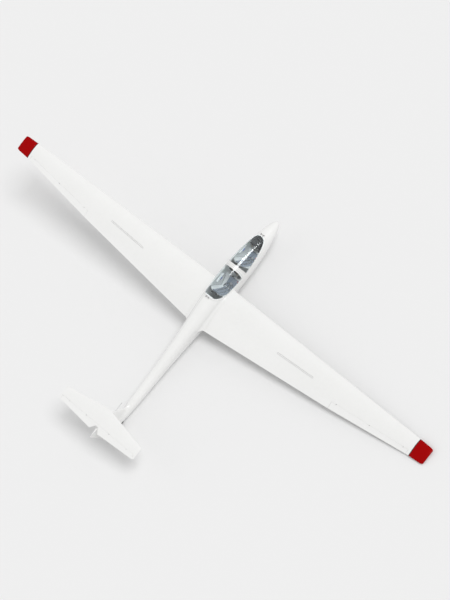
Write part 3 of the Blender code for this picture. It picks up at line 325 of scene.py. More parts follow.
# One finish a row: clean and worn colour, gloss and dull roughness, cloud size and amount,
# the grain's fineness and its depth in metres, and how much clear coat lies over it
finishes = {
    "gelcoat": {"clean": (0.83, 0.83, 0.82), "worn": (0.76, 0.76, 0.745), "gloss": 0.16, "dull": 0.30,
                "scale": 1.1, "amount": 0.25, "grain": 60, "depth": 0.00004, "coat": 0.7},
    "redPaint": {"clean": (0.33, 0.0006, 0.0010), "worn": (0.28, 0.0010, 0.0016), "gloss": 0.30, "dull": 0.44,
                 "scale": 2.5, "amount": 0.5, "grain": 60, "depth": 0.00005, "coat": 0.0, "specular": 0.05},
    "wellPaint": {"clean": (0.45, 0.45, 0.44), "worn": (0.30, 0.29, 0.27), "gloss": 0.45, "dull": 0.7,
                  "scale": 7, "amount": 0.8, "grain": 300, "depth": 0.0002, "coat": 0.0},
    "blackBand": {"clean": (0.008, 0.008, 0.009), "worn": (0.02, 0.02, 0.02), "gloss": 0.30, "dull": 0.45,
                  "scale": 6, "amount": 0.5, "grain": 200, "depth": 0.00003, "coat": 0.3},
    "sealTape": {"clean": (0.80, 0.80, 0.79), "worn": (0.66, 0.66, 0.64), "gloss": 0.38, "dull": 0.52,
                 "scale": 5, "amount": 0.7, "grain": 300, "depth": 0.00004, "coat": 0.0},
    "cabinGrey": {"clean": (0.66, 0.67, 0.67), "worn": (0.56, 0.57, 0.57), "gloss": 0.42, "dull": 0.60,
                  "scale": 6, "amount": 0.7, "grain": 700, "depth": 0.0003, "coat": 0.0},
    "crackleBlack": {"clean": (0.022, 0.022, 0.024), "worn": (0.05, 0.05, 0.05), "gloss": 0.48, "dull": 0.66,
                     "scale": 12, "amount": 0.6, "grain": 1400, "depth": 0.00025, "coat": 0.0},
    "vinyl": {"clean": (0.030, 0.030, 0.033), "worn": (0.055, 0.053, 0.050), "gloss": 0.46, "dull": 0.62,
              "scale": 8, "amount": 0.7, "grain": 900, "depth": 0.0005, "coat": 0.0},
    "rubber": {"clean": (0.022, 0.022, 0.023), "worn": (0.085, 0.080, 0.072), "gloss": 0.66, "dull": 0.85,
               "scale": 14, "amount": 0.7, "grain": 900, "depth": 0.0004, "coat": 0.0},
    "castAlloy": {"clean": (0.62, 0.62, 0.63), "worn": (0.45, 0.45, 0.45), "gloss": 0.34, "dull": 0.52,
                  "scale": 16, "amount": 0.7, "grain": 1100, "depth": 0.0003, "coat": 0.0, "metal": 1.0},
    "steel": {"clean": (0.52, 0.52, 0.53), "worn": (0.34, 0.33, 0.32), "gloss": 0.28, "dull": 0.48,
              "scale": 18, "amount": 0.7, "grain": 800, "depth": 0.0001, "coat": 0.0, "metal": 1.0},
    "paleDial": {"clean": (0.75, 0.75, 0.72), "worn": (0.70, 0.70, 0.66), "gloss": 0.5, "dull": 0.6,
                 "scale": 30, "amount": 0.4, "grain": 900, "depth": 0.00002, "coat": 0.0},
    "blueKnob": {"clean": (0.02, 0.08, 0.42), "worn": (0.03, 0.07, 0.28), "gloss": 0.30, "dull": 0.5,
                 "scale": 20, "amount": 0.6, "grain": 500, "depth": 0.0002, "coat": 0.2},
    "yellowKnob": {"clean": (0.75, 0.50, 0.01), "worn": (0.60, 0.42, 0.03), "gloss": 0.30, "dull": 0.5,
                   "scale": 20, "amount": 0.6, "grain": 500, "depth": 0.0002, "coat": 0.2},
    "greenKnob": {"clean": (0.02, 0.30, 0.06), "worn": (0.03, 0.22, 0.05), "gloss": 0.30, "dull": 0.5,
                  "scale": 20, "amount": 0.6, "grain": 500, "depth": 0.0002, "coat": 0.2},
    "redKnob": {"clean": (0.50, 0.01, 0.01), "worn": (0.38, 0.01, 0.01), "gloss": 0.30, "dull": 0.5,
                "scale": 20, "amount": 0.6, "grain": 500, "depth": 0.0002, "coat": 0.2},
}


def placeGroup(tree, name, values):
    made = tree.nodes.new("ShaderNodeGroup")
    made.node_tree = groups[name]
    for key, value in values.items():
        made.inputs[key].default_value = value
    return made


def paintFinish(name, row):
    made, nodes, links, shader = newMaterial(name)
    mottle = placeGroup(made.node_tree, "mottle", {
        "Clean": (*row["clean"], 1), "Worn": (*row["worn"], 1), "Scale": row["scale"],
        "Amount": row["amount"], "Gloss": row["gloss"], "Dull": row["dull"],
    })
    grain = placeGroup(made.node_tree, "grain", {"Scale": row["grain"], "Coarse": 0.4})
    bump = nodes.new("ShaderNodeBump")
    bump.inputs["Distance"].default_value = row["depth"]
    links.new(grain.outputs["Height"], bump.inputs["Height"])
    links.new(bump.outputs["Normal"], shader.inputs["Normal"])
    links.new(mottle.outputs["Color"], shader.inputs["Base Color"])
    links.new(mottle.outputs["Roughness"], shader.inputs["Roughness"])
    shader.inputs["Metallic"].default_value = row.get("metal", 0.0)
    shader.inputs["Coat Weight"].default_value = row["coat"]
    shader.inputs["Coat Roughness"].default_value = 0.06
    shader.inputs["Specular IOR Level"].default_value = row.get("specular", 0.5)
    return made


# Woven cloth: the threads' height as bump, painted shade that darkens a mottled colour in the hollows of the
# weave, and a soft sheen
def paintCloth(name, dark, light, threads, depth, sheen):
    made, nodes, links, shader = newMaterial(name)
    mottle = placeGroup(made.node_tree, "mottle", {
        "Clean": (*dark, 1), "Worn": (*light, 1), "Scale": 9.0, "Amount": 0.5, "Gloss": 0.85, "Dull": 0.95,
    })
    weave = placeGroup(made.node_tree, "weave", {"Threads": threads, "Depth": 1.0})
    # painted shade: the colour is multiplied by the weave's hollow shade, down to 0.55 of itself in the
    # hollows
    shade = node(made.node_tree, "ShaderNodeMix", data_type="RGBA", blend_type="MULTIPLY")
    shade.inputs["Factor"].default_value = 0.45
    bump = nodes.new("ShaderNodeBump")
    bump.inputs["Distance"].default_value = depth
    links.new(weave.outputs["Height"], bump.inputs["Height"])
    links.new(bump.outputs["Normal"], shader.inputs["Normal"])
    links.new(mottle.outputs["Color"], shade.inputs["A"])
    links.new(weave.outputs["PaintedHollowShade"], shade.inputs["B"])
    links.new(shade.outputs["Result"], shader.inputs["Base Color"])
    links.new(mottle.outputs["Roughness"], shader.inputs["Roughness"])
    shader.inputs["Sheen Weight"].default_value = sheen
    return made


# Clear blown acrylic with a faint blue tint and a haze of fine scratches in its gloss
def paintAcrylic():
    made, nodes, links, shader = newMaterial("acrylic")
    mottle = placeGroup(made.node_tree, "mottle", {
        "Clean": (0.94, 0.97, 0.98, 1), "Worn": (0.90, 0.94, 0.95, 1), "Scale": 4.0, "Amount": 0.6,
        "Gloss": 0.015, "Dull": 0.06,
    })
    links.new(mottle.outputs["Color"], shader.inputs["Base Color"])
    links.new(mottle.outputs["Roughness"], shader.inputs["Roughness"])
    shader.inputs["Transmission Weight"].default_value = 1.0
    shader.inputs["IOR"].default_value = 1.49
    kinds = ("LightPath", "BsdfTransparent", "MixShader")
    path, clear, mix = (nodes.new("ShaderNode" + kind) for kind in kinds)
    clear.inputs["Color"].default_value = (0.92, 0.96, 0.97, 1)
    links.new(path.outputs["Is Shadow Ray"], mix.inputs[0])
    links.new(shader.outputs["BSDF"], mix.inputs[1])
    links.new(clear.outputs["BSDF"], mix.inputs[2])
    output = next(one for one in nodes if one.type == "OUTPUT_MATERIAL")
    links.new(mix.outputs["Shader"], output.inputs["Surface"])
    return made


finish = {name: paintFinish(name, row) for name, row in finishes.items()}
finish["seatCloth"] = paintCloth("seatCloth", (0.26, 0.30, 0.37), (0.33, 0.37, 0.43), 2600, 0.0006, 0.35)
finish["webbing"] = paintCloth("webbing", (0.16, 0.17, 0.19), (0.22, 0.23, 0.24), 1500, 0.0008, 0.15)
finish["acrylic"] = paintAcrylic()
print("finishes ready")


# Meshes

# Quads between the rows and columns of a grid, each wrapped round if asked
def gridQuads(rows, cols, wrapRows=False, wrapCols=False):
    i = np.arange(rows if wrapRows else rows - 1)[:, None]
    j = np.arange(cols if wrapCols else cols - 1)[None, :]
    nextRow, nextCol = (i + 1) % rows, (j + 1) % cols
    corners = [i * cols + j, i * cols + nextCol, nextRow * cols + nextCol, nextRow * cols + j]
    return np.stack([c + np.zeros_like(corners[0]) for c in corners], -1).reshape(-1, 4)


def cleanMesh(mesh, merge=0.00002):  # welds doubles, drops what they leave flat, and faces it outwards
    shape = bmesh.new()
    shape.from_mesh(mesh)
    bmesh.ops.remove_doubles(shape, verts=shape.verts, dist=merge)
    bmesh.ops.dissolve_degenerate(shape, edges=shape.edges, dist=merge)
    bmesh.ops.recalc_face_normals(shape, faces=shape.faces)
    if shape.calc_volume(signed=True) < 0:
        bmesh.ops.reverse_faces(shape, faces=shape.faces)
    shape.to_mesh(mesh)
    shape.free()


def newObject(name, mesh):
    made = bpy.data.objects.new(name, mesh)
    bpy.context.scene.collection.objects.link(made)
    return made


def shadeByAngle(mesh, degrees=32):
    mesh.shade_smooth()
    mesh.set_sharp_from_angle(angle=math.radians(degrees))


# A closed skin over a grid of rings, with flat ends where it doesn't wrap
def ringMesh(name, rings, wrapRows=False, ends=True):
    rings = np.asarray(rings, float)
    rows, cols = rings.shape[:2]
    faces = gridQuads(rows, cols, wrapRows, True).tolist()
    if ends and not wrapRows:
        faces += [list(range(cols)), list(range((rows - 1) * cols, rows * cols))]
    mesh = bpy.data.meshes.new(name)
    mesh.from_pydata(toRow(rings).tolist(), [], faces)
    cleanMesh(mesh)
    return mesh


def paintedAs(made, material):  # its faces keep this finish when they cut or join another object
    made.data.materials.append(finish[material])
    return made


def ringBlank(name, rings, material):
    return paintedAs(newObject(name, ringMesh(name, rings)), material)


def dress(made, material, body, nodes=(), degrees=32):
    made.data.materials.clear()
    made.data.materials.append(finish[material])
    shadeByAngle(made.data, degrees)
    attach(made, body)
    if nodes:
        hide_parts(*nodes)
    return made


def ringPiece(name, rings, material, body, nodes=(), wrapRows=False, degrees=32):
    return dress(newObject(name, ringMesh(name, rings, wrapRows)), material, body, nodes, degrees)


def bake(made):  # an object's modifiers become its mesh
    graph = bpy.context.evaluated_depsgraph_get()
    mesh = bpy.data.meshes.new_from_object(made.evaluated_get(graph))
    made.modifiers.clear()
    made.data = mesh
    return made


def roundEdges(made, width, segments=3, degrees=50):  # of the edges that turn by more than this angle
    change = made.modifiers.new("round", "BEVEL")
    change.width, change.segments, change.limit_method = width, segments, "ANGLE"
    change.angle_limit = math.radians(degrees)
    return bake(made)


def carve(made, cutters, operation="DIFFERENCE"):  # cuts the made object with others, and removes those
    for cutter in cutters:
        change = made.modifiers.new("carve", "BOOLEAN")
        change.operation = operation
        change.object = cutter
        change.material_mode = "TRANSFER"
    bpy.context.view_layer.update()
    bake(made)
    for cutter in cutters:
        bpy.data.objects.remove(cutter)
    return made


# A side outline of (y, z) points carried from one x to the other
def sidePrism(name, outline, low, high):
    outline = np.asarray(outline, float)
    rings = [np.column_stack([np.full(len(outline), x), outline]) for x in (low, high)]
    return newObject(name, ringMesh(name, rings))


# A turned shape: a closed profile of (x, radius) carried round the x line through a centre
def turnedRings(profile, centre, steps=64):
    angle = np.arange(steps) * 2 * np.pi / steps
    x, radius = np.asarray(profile, float).T
    grid = np.stack([
        np.broadcast_to(x, (steps, len(x))),
        np.outer(np.cos(angle), radius),
        np.outer(np.sin(angle), radius),
    ], -1)
    return grid + np.asarray(centre, float)


# A round tube along a path: rings square to it, carried along without twist
def tubeRings(path, radius, sides=12):
    path = np.asarray(path, float)
    radius = np.broadcast_to(np.asarray(radius, float), (len(path),))
    along = np.gradient(path, axis=0)
    along /= np.linalg.norm(along, axis=1)[:, None]
    first = np.cross(along[0], (0.3, 0.5, 0.81))
    across = [first / np.linalg.norm(first)]
    for direction in along[1:]:
        kept = across[-1] - direction * (across[-1] @ direction)
        across.append(kept / np.linalg.norm(kept))
    across = np.array(across)
    other = np.cross(along, across)
    angle = np.arange(sides) * 2 * np.pi / sides
    ring = across[:, None] * np.cos(angle)[None, :, None] + other[:, None] * np.sin(angle)[None, :, None]
    return path[:, None] + ring * radius[:, None, None]


# A smooth path through given points, cubic between them, with a step's worth of points on each span
def smoothPath(points, steps=8):
    points = np.asarray(points, float)
    slope = np.gradient(points, axis=0)
    t = np.linspace(0, 1, steps, endpoint=False)[:, None]
    spans = [
        a * (2 * t**3 - 3 * t**2 + 1) + p * (t**3 - 2 * t**2 + t)
        + b * (3 * t**2 - 2 * t**3) + q * (t**3 - t**2)
        for a, b, p, q in zip(points, points[1:], slope, slope[1:])
    ]
    return np.vstack(spans + [points[-1:]])


def joinMeshes(name, grids, wrapRows=False):  # several closed ring grids as one object
    shape = bmesh.new()
    for rings in grids:
        part = ringMesh(name, rings, wrapRows)
        shape.from_mesh(part)
        bpy.data.meshes.remove(part)
    mesh = bpy.data.meshes.new(name)
    shape.to_mesh(mesh)
    shape.free()
    return newObject(name, mesh)


def ringPieces(name, grids, material, body, nodes=(), degrees=32):
    return dress(joinMeshes(name, grids), material, body, nodes, degrees)


# A box with rounded long edges, its corners low and high, as rings of a rounded rectangle along y
def boxRings(low, high, bevel=0.002, corner=4):
    low, high = np.asarray(low, float), np.asarray(high, float)
    angle = np.concatenate([np.linspace(k, k + 1, corner) * np.pi / 2 for k in range(4)])
    signs = np.repeat([(1, 1), (-1, 1), (-1, -1), (1, -1)], corner, axis=0)
    middle, half = (low + high) / 2, (high - low) / 2
    rings = []
    for y, shrink in ((low[1], bevel), (low[1] + bevel, 0), (high[1] - bevel, 0), (high[1], bevel)):
        x = middle[0] + signs[:, 0] * (half[0] - bevel - shrink) + bevel * np.cos(angle)
        z = middle[2] + signs[:, 1] * (half[2] - bevel - shrink) + bevel * np.sin(angle)
        rings.append(np.column_stack([x, np.full(len(x), y), z]))
    return rings


# Camera, floor and light

# Where the drawing looks from, in the aircraft's frame: angles in degrees, lens for a 36 mm long side
shot = {
    "turn": -0.813, "tilt": 25.450, "roll": -38.022, "distance": 54.430,
    "target": (-0.3906, 2.8523, 0.2), "lens": 109.19,
}


# The camera looks along minus back, which leans over by tilt towards turn; then it rolls about that line
def placeCamera():
    turn, tilt, roll = (math.radians(shot[key]) for key in ("turn", "tilt", "roll"))
    back = np.array([-math.sin(tilt) * math.cos(turn), -math.sin(tilt) * math.sin(turn), math.cos(tilt)])
    ahead = np.array([0.0, -1.0, 0.0])
    up = ahead - back * (ahead @ back)
    up /= np.linalg.norm(up)
    top = math.cos(roll) * up + math.sin(roll) * np.cross(up, back)
    turned = np.stack([np.cross(top, back), top, back]) @ axes
    spot = toRow(np.array(shot["target"]) + shot["distance"] * back)[0]
    data = bpy.data.cameras.new("camera")
    data.lens = shot["lens"]
    data.clip_end = 2000
    camera = newObject("camera", data)
    camera.matrix_world = Matrix.Translation(spot) @ Matrix(turned.T.tolist()).to_4x4()
    bpy.context.scene.camera = camera


studio = {"floorHalf": 600.0, "floor": (0.80, 0.80, 0.80), "sky": 0.62, "sun": 1.55, "sunSize": 28.0,
          "sunFrom": (-0.42, -0.30, 0.86), "fill": 0.25, "fillFrom": (0.7, 0.5, 0.5)}


def lampFrom(name, direction, energy, size):  # a sun whose light comes from that direction
    data = bpy.data.lights.new(name, "SUN")
    data.energy = energy
    data.angle = math.radians(size)
    lamp = newObject(name, data)
    lamp.rotation_euler = Vector(direction).to_track_quat("Z", "Y").to_euler()


def makeStudio():
    made, nodes, links, shader = newMaterial("studioFloor")
    shader.inputs["Base Color"].default_value = (*studio["floor"], 1)
    shader.inputs["Roughness"].default_value = 0.9
    shader.inputs["Specular IOR Level"].default_value = 0.1
    half = studio["floorHalf"]
    mesh = bpy.data.meshes.new("floor")
    mesh.from_pydata(
        [(-half, -half, 0), (half, -half, 0), (half, half, 0), (-half, half, 0)], [], [(0, 1, 2, 3)]
    )
    floor = newObject("floor", mesh)
    floor.location.z = -0.001
    floor.data.materials.append(made)
    world = bpy.data.worlds.new("studio")
    world.use_nodes = True
    world.node_tree.nodes["Background"].inputs["Color"].default_value = (1, 1, 1, 1)
    world.node_tree.nodes["Background"].inputs["Strength"].default_value = studio["sky"]
    bpy.context.scene.world = world
    lampFrom("key", studio["sunFrom"], studio["sun"], studio["sunSize"])
    lampFrom("fill", studio["fillFrom"], studio["fill"], 60.0)
    bpy.context.scene.view_settings.view_transform = "Standard"


placeCamera()
makeStudio()
print("camera and studio ready")


# Sections

# A wing section as a loop from the upper trailing edge round the nose, with a half round trailing edge.
# Returns (y, z) points, their outward normals and their shares of the chord.
def sectionLoop(row, count=48, edgeSteps=3):
    edge, chord, thick, camber = row
    share = 0.5 * (1 - np.cos(np.linspace(0, np.pi, count)))
    upper = np.stack(skinPoint(row, share[::-1], 1), -1)
    lower = np.stack(skinPoint(row, share[1:], -1), -1)
    turn = np.linspace(-np.pi / 2, np.pi / 2, edgeSteps + 2)[1:-1]
    radius = wing["edgeThick"] / 2
    cap = np.stack([edge + chord + radius * np.cos(turn), radius * np.sin(turn)], -1)
    loop = np.vstack([upper, lower, cap])
    along = np.roll(loop, -1, 0) - np.roll(loop, 1, 0)
    normal = np.stack([-along[:, 1], along[:, 0]], -1)
    normal /= -np.linalg.norm(normal, axis=1)[:, None]
    shares = np.concatenate([share[::-1], share[1:], np.ones(edgeSteps)])
    normal[-edgeSteps:] = np.stack([np.cos(turn), np.sin(turn)], -1)
    return loop, normal, shares


# x of the hull's skin at y and height z, zero past its top and bottom
def hullSide(y, z):
    widest = hullValue(4, y)
    tall = np.where(z > widest, hullValue(2, y) - widest, widest - hullValue(3, y))
    power = hull["roundness"]
    return hullValue(1, y) * np.maximum(0, 1 - np.abs((z - widest) / tall) ** power) ** (1 / power)


def hullTop(x, y):  # height of the hull's skin over x and y
    power = hull["roundness"]
    share = np.maximum(0, 1 - np.abs(x / hullValue(1, y)) ** power) ** (1 / power)
    widest = hullValue(4, y)
    return widest + (hullValue(2, y) - widest) * share


# A fillet from a blade's root to the hull: each point runs in on a quarter ellipse, where the outline
# grows by its normal times grow and by shear, and the height over the skin falls from start to nothing
def filletGrid(root, start, skin, normal, grow, shear, steps=14, sunk=0.03, limit=None):
    gap = (start - skin(root[:, 0], root[:, 1]))[None]
    turn = np.linspace(0, np.pi / 2, steps)[:, None]
    spread = (normal * grow + shear)[None]
    flat = root[None] + (1 - np.cos(turn))[..., None] * spread
    if limit is not None:
        widest = limit(flat[..., 1])
        flat[..., 0] = np.clip(flat[..., 0], -widest, widest)
    height = skin(flat[..., 0], flat[..., 1]) + gap * (1 - np.sin(turn))
    last = np.concatenate([flat[-1:], (height[-1:] - sunk)[..., None]], -1)
    return np.concatenate([np.concatenate([flat, height[..., None]], -1), last])


def stationGrid(first, last, count):  # stations spaced evenly over the root of y, close at the nose
    return np.linspace(math.sqrt(first), math.sqrt(last), count) ** 2


def hullRings(stations, inset=0.0):
    angle = (np.arange(hull["around"]) + 0.5) * 2 * np.pi / hull["around"]
    return hullPoints(np.asarray(stations)[:, None], angle[None], inset)


# Side outlines, as (y, z)

canopies = {
    "front": {"hinge": (0.606, 0.128), "slope": math.radians(18), "facing": 1},
    "rear": {"hinge": (3.112, 0.478), "slope": math.radians(-6), "facing": -1},
    "sill": [(0.620, 0.110), (0.650, 0.088), (0.720, 0.068), (0.840, 0.053), (1.000, 0.048), (1.879, 0.050)],
    "frontTopY": 1.891,
    "rearSill": [
        (2.350, 0.085), (2.600, 0.130), (2.800, 0.190), (2.950, 0.270), (3.050, 0.350), (3.096, 0.420)
    ],
    "edgeRadius": 1.180, "edgeDrop": 0.42, "over": 0.80,
    "shutLine": 0.006, "frameWide": 0.042, "frameDeep": 0.014, "glassInset": 0.001, "glassThick": 0.006,
    "ear": (0.064, 0.004, 0.0070, 0.020, 0.034), "lug": (0.040, 0.010, 0.0065, 0.044, 0.024), "rod": 0.0035,
}
beyond = 0.6  # cutters reach this far past what they cut


def arcPoints(y, z, radius, first, last, steps):  # an arc's points between two angles, in degrees
    angle = np.radians(np.linspace(first, last, steps))
    return np.stack([y + radius * np.cos(angle), z + radius * np.sin(angle)], -1)


def wellOutline(wheel, extra=0.0):  # round over the wheel, open below
    radius = wheel["well"] + extra
    arc = arcPoints(wheel["y"], wheel["z"], radius, 180, 0, 41)
    return np.vstack([(arc[0, 0], wheel["z"] - beyond), arc, (arc[-1, 0], wheel["z"] - beyond)])


def frontOpening():
    sill = canopies["sill"]
    return [(sill[0][0], canopies["over"]), *sill, (canopies["frontTopY"], canopies["over"])]


def rearOpening():  # its front edge is an arc about its own hinge
    y, z = canopies["rear"]["hinge"]
    drop = np.append(np.linspace(0, canopies["edgeDrop"] - 0.07, 20), canopies["edgeDrop"])
    edge = np.stack([y - np.sqrt(canopies["edgeRadius"] ** 2 - drop**2), z - drop], -1)
    sill = canopies["rearSill"]
    return [(edge[0][0], canopies["over"]), *edge.tolist(), *sill, (sill[-1][0], canopies["over"])]


# A closed outline with every side moved in by a distance: each corner goes along its bisector
def insetOutline(outline, distance):
    points = np.asarray(outline, float)
    after = np.roll(points, -1, 0)
    turn = np.sign((points[:, 0] * after[:, 1] - after[:, 0] * points[:, 1]).sum())
    ahead = (after - points) / np.linalg.norm(after - points, axis=1)[:, None]
    normal = np.stack([-ahead[:, 1], ahead[:, 0]], -1) * turn
    middle = normal + np.roll(normal, 1, 0)
    middle /= np.linalg.norm(middle, axis=1)[:, None]
    return points + middle * (distance / (middle * normal).sum(1))[:, None]


def tabOutline(hinge, slope, facing, radius, reach, foot):  # a round eye with an arm and a foot
    heel = max(0.0, reach - 0.012)
    eye = arcPoints(0, 0, radius, 90, 270, 17)
    points = np.vstack([eye, [(heel, -radius), (heel, -foot), (reach, -foot), (reach, radius)]])
    c, s = math.cos(slope), math.sin(slope)
    y, z = points[:, 0], points[:, 1]
    return np.stack([hinge[0] + facing * y * c - z * s, hinge[1] + facing * y * s + z * c], -1)


def rodObject(name, start, end, radius, sides=24):
    return newObject(name, ringMesh(name, tubeRings([start, end], radius, sides)))


# Fuselage

rootFillet = {"grow": 0.040, "aft": 0.19, "sunk": 0.03}


def rootFairing(side):  # the wing's root section carried on to the hull, and stretched aft towards it
    station = wing["rows"][0, 0] - seam
    loop, normal, share = sectionLoop(tableRow(wing["rows"], wing["rows"][0, 0]))
    c, d = math.cos(wing["dihedral"]), math.sin(wing["dihedral"])
    root = np.stack([loop[:, 0], station * d + loop[:, 1] * c], -1)
    start = station * c - loop[:, 1] * d
    shear = np.stack([rootFillet["aft"] * share**3, 0 * share], -1)
    grid = filletGrid(root, start, hullSide, normal, rootFillet["grow"], shear, sunk=rootFillet["sunk"])
    return np.stack([side * grid[..., 2], grid[..., 0], grid[..., 1]], -1)


def makeFrontHull():
    front = newObject(
        "fuselage_front_skin", ringMesh("front", hullRings(stationGrid(0.0002, hull["splitY"], 190)))
    )
    paintedAs(front, "gelcoat")
    fairings = [newObject("fairing", ringMesh("fairing", rootFairing(side))) for side in (1, -1)]
    for fairing in fairings:
        paintedAs(fairing, "gelcoat")
    carve(front, fairings, "UNION")
    cabinStations = stationGrid(*hull["cabin"], 90)
    cabin = newObject("cabin", ringMesh("cabin", hullRings(cabinStations, hull["wall"])))
    paintedAs(cabin, "cabinGrey")
    housings = []
    for key in ("nose", "main"):
        wheel = wheels[key]
        half = wheel["wellHalf"] + 0.015
        housings.append(paintedAs(
            sidePrism(key + "_housing", wellOutline(wheel, 0.015), -half, half), "cabinGrey"
        ))
    carve(cabin, housings)
    cutters = [cabin]
    for outline in (frontOpening(), rearOpening()):
        cutters.append(paintedAs(sidePrism("opening", outline, -beyond, beyond), "gelcoat"))
    for key in ("nose", "main"):
        wheel = wheels[key]
        half = wheel["wellHalf"]
        cutters.append(paintedAs(sidePrism(key + "_well", wellOutline(wheel), -half, half), "wellPaint"))
    carve(front, cutters)
    ears = []
    for key in ("front", "rear"):
        spec = canopies[key]
        x, half, radius, reach, foot = canopies["ear"]
        outline = tabOutline(spec["hinge"], spec["slope"], -spec["facing"], radius, reach, foot)
        for side in (-1, 1):
            ears.append(sidePrism("ear", outline, side * x - half, side * x + half))
        ends = x + 0.003
        ears.append(rodObject("rod", (-ends, *spec["hinge"]), (ends, *spec["hinge"]), canopies["rod"]))
    for ear in ears:
        paintedAs(ear, "steel")
    carve(front, ears, "UNION")
    finishSkin(front, "airframe", "white_gelcoat", "fuselage_front")


def finishSkin(made, body, slotName, *nodes, degrees=32):  # for pieces that keep several finishes
    shadeByAngle(made.data, degrees)
    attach(made, body)
    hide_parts(*nodes)


makeFrontHull()
print("front fuselage ready")


# Tail: fin and rudder by height, as height, leading edge, trailing edge, thickness; tailplane by half span
tail = {
    "fin": np.array([
        (-0.110, 7.020, 8.370, 0.118), (0.140, 7.170, 8.405, 0.118), (0.930, 7.640, 8.530, 0.078)
    ]),
    "finTop": 0.930,
    "rudderAxis": np.array([(8.030, -0.100), (8.062, 0.900)]),
    "plane": np.array([
        (0.00, 7.500, 0.820, 0.094), (1.55, 7.778, 0.430, 0.046), (1.60, 7.800, 0.370, 0.030)
    ]),
    "planeZ": 0.985, "elevatorSpan": 1.53, "elevatorY": 8.085,
    "notchHalf": 0.175, "notchFlat": 0.050, "notchDepth": 0.060,
    "finSpread": 0.045, "finReach": 0.86, "dorsal": 0.16,
}
# Each hinge of a control surface is a plate with a pin across it, in a slot with bores in the surface
hingeSize = {"plate": 0.008, "tall": 0.014, "reach": 0.008, "root": 0.022, "slotAhead": 0.030,
             "slotAft": 0.0075, "pin": 0.004, "pinHalf": 0.020, "pinPlay": 0.002, "play": 0.0004}


# A hinged surface's section: half round nose about the axis, then the whole section's own sides to its edge.
# row is that whole section, as edge, chord, thickness, camber, and end where the surface stops.
def flapLoop(row, axisY, axisZ, nose, end, steps=12):
    edge, chord, thick, camber = row
    share = (np.linspace(axisY, end, steps) - edge) / chord
    half = thick * halfThickness(np.minimum(share, 1))
    ease = np.linspace(0, 1, steps)
    half = np.maximum(half * (1 - ease**4) + wing["edgeThick"] / 2 * ease**4, wing["edgeThick"] / 2)
    half[0] = nose
    middle = axisZ * (1 - ease) ** 2
    y = edge + chord * share
    top = np.stack([y, middle + half], -1)
    low = np.stack([y, middle - half], -1)
    front = arcPoints(axisY, axisZ, nose, 90, 270, 15)[1:-1]
    cap = arcPoints(end, middle[-1], wing["edgeThick"] / 2, -90, 90, 5)[1:-1]
    return np.vstack([top[::-1], front, low, cap])


def coveLoop(axisY, axisZ, nose, end, tall):  # what the surface and its gap need, cut from what carries it
    front = arcPoints(axisY, axisZ, nose + wing["gap"], 90, 270, 15)
    return np.vstack([
        [(end, axisZ + tall), (axisY, axisZ + tall)], front, [(axisY, axisZ - tall), (end, axisZ - tall)]
    ])


def hingeAxes(along, aft):  # unit vectors along the hinge line, aft and up
    along = np.asarray(along, float) / np.linalg.norm(along)
    aft = np.asarray(aft, float) - along * (np.asarray(aft, float) @ along)
    aft /= np.linalg.norm(aft)
    return np.stack([along, aft, np.cross(along, aft)])


def framedBox(name, low, high, point, turn):  # a box in a hinge's own frame
    rings = [[(x, y, z) for y, z in (
        (low[1], low[2]), (high[1], low[2]), (high[1], high[2]), (low[1], high[2])
    )]
             for x in (low[0], high[0])]
    return newObject(name, ringMesh(name, np.array(rings) @ turn + point))


# Plates and pins joined to the fixed part, with slots and bores cut in the moving one
def fitHinges(fixed, moving, start, end, shares, noses, aft=(0, 1, 0)):
    start, end = np.asarray(start, float), np.asarray(end, float)
    turn = hingeAxes(end - start, aft)
    plates, slots = [], []
    for share in shares:
        nose = noses[0] + (noses[1] - noses[0]) * share
        point = start + (end - start) * share
        half, tall = hingeSize["plate"] / 2, hingeSize["tall"] / 2
        ahead = -nose - wing["gap"] - hingeSize["root"]
        plates.append(framedBox(
            "plate", (-half, ahead, -tall), (half, hingeSize["reach"], tall), point, turn
        ))
        wide, high = half + wing["gap"], nose + hingeSize["slotAhead"]
        aftEnd = hingeSize["reach"] + hingeSize["slotAft"]
        slots.append(framedBox("slot", (-wide, -high, -high), (wide, aftEnd, high), point, turn))
        pinHalf = hingeSize["pinHalf"] * turn[0]
        deep = pinHalf + hingeSize["pinPlay"] * turn[0]
        plates.append(rodObject("pin", point - pinHalf, point + pinHalf, hingeSize["pin"]))
        slots.append(rodObject("bore", point - deep, point + deep, hingeSize["pin"] + hingeSize["play"]))
    for plate in plates:
        paintedAs(plate, "steel")
    carve(fixed, plates, "UNION")
    carve(moving, slots)


def finRow(height):  # the fin's section, as edge, chord, thickness, camber
    edge, end, thick = tableRow(tail["fin"], height)
    return edge, end - edge, thick, 0.0


def rudderAt(height):  # axis y, nose radius and trailing edge
    (footY, footZ), (headY, headZ) = tail["rudderAxis"]
    axis = footY + (headY - footY) * (height - footZ) / (headZ - footZ)
    edge, chord, thick, _ = finRow(height)
    return axis, thick * float(halfThickness((axis - edge) / chord)), edge + chord


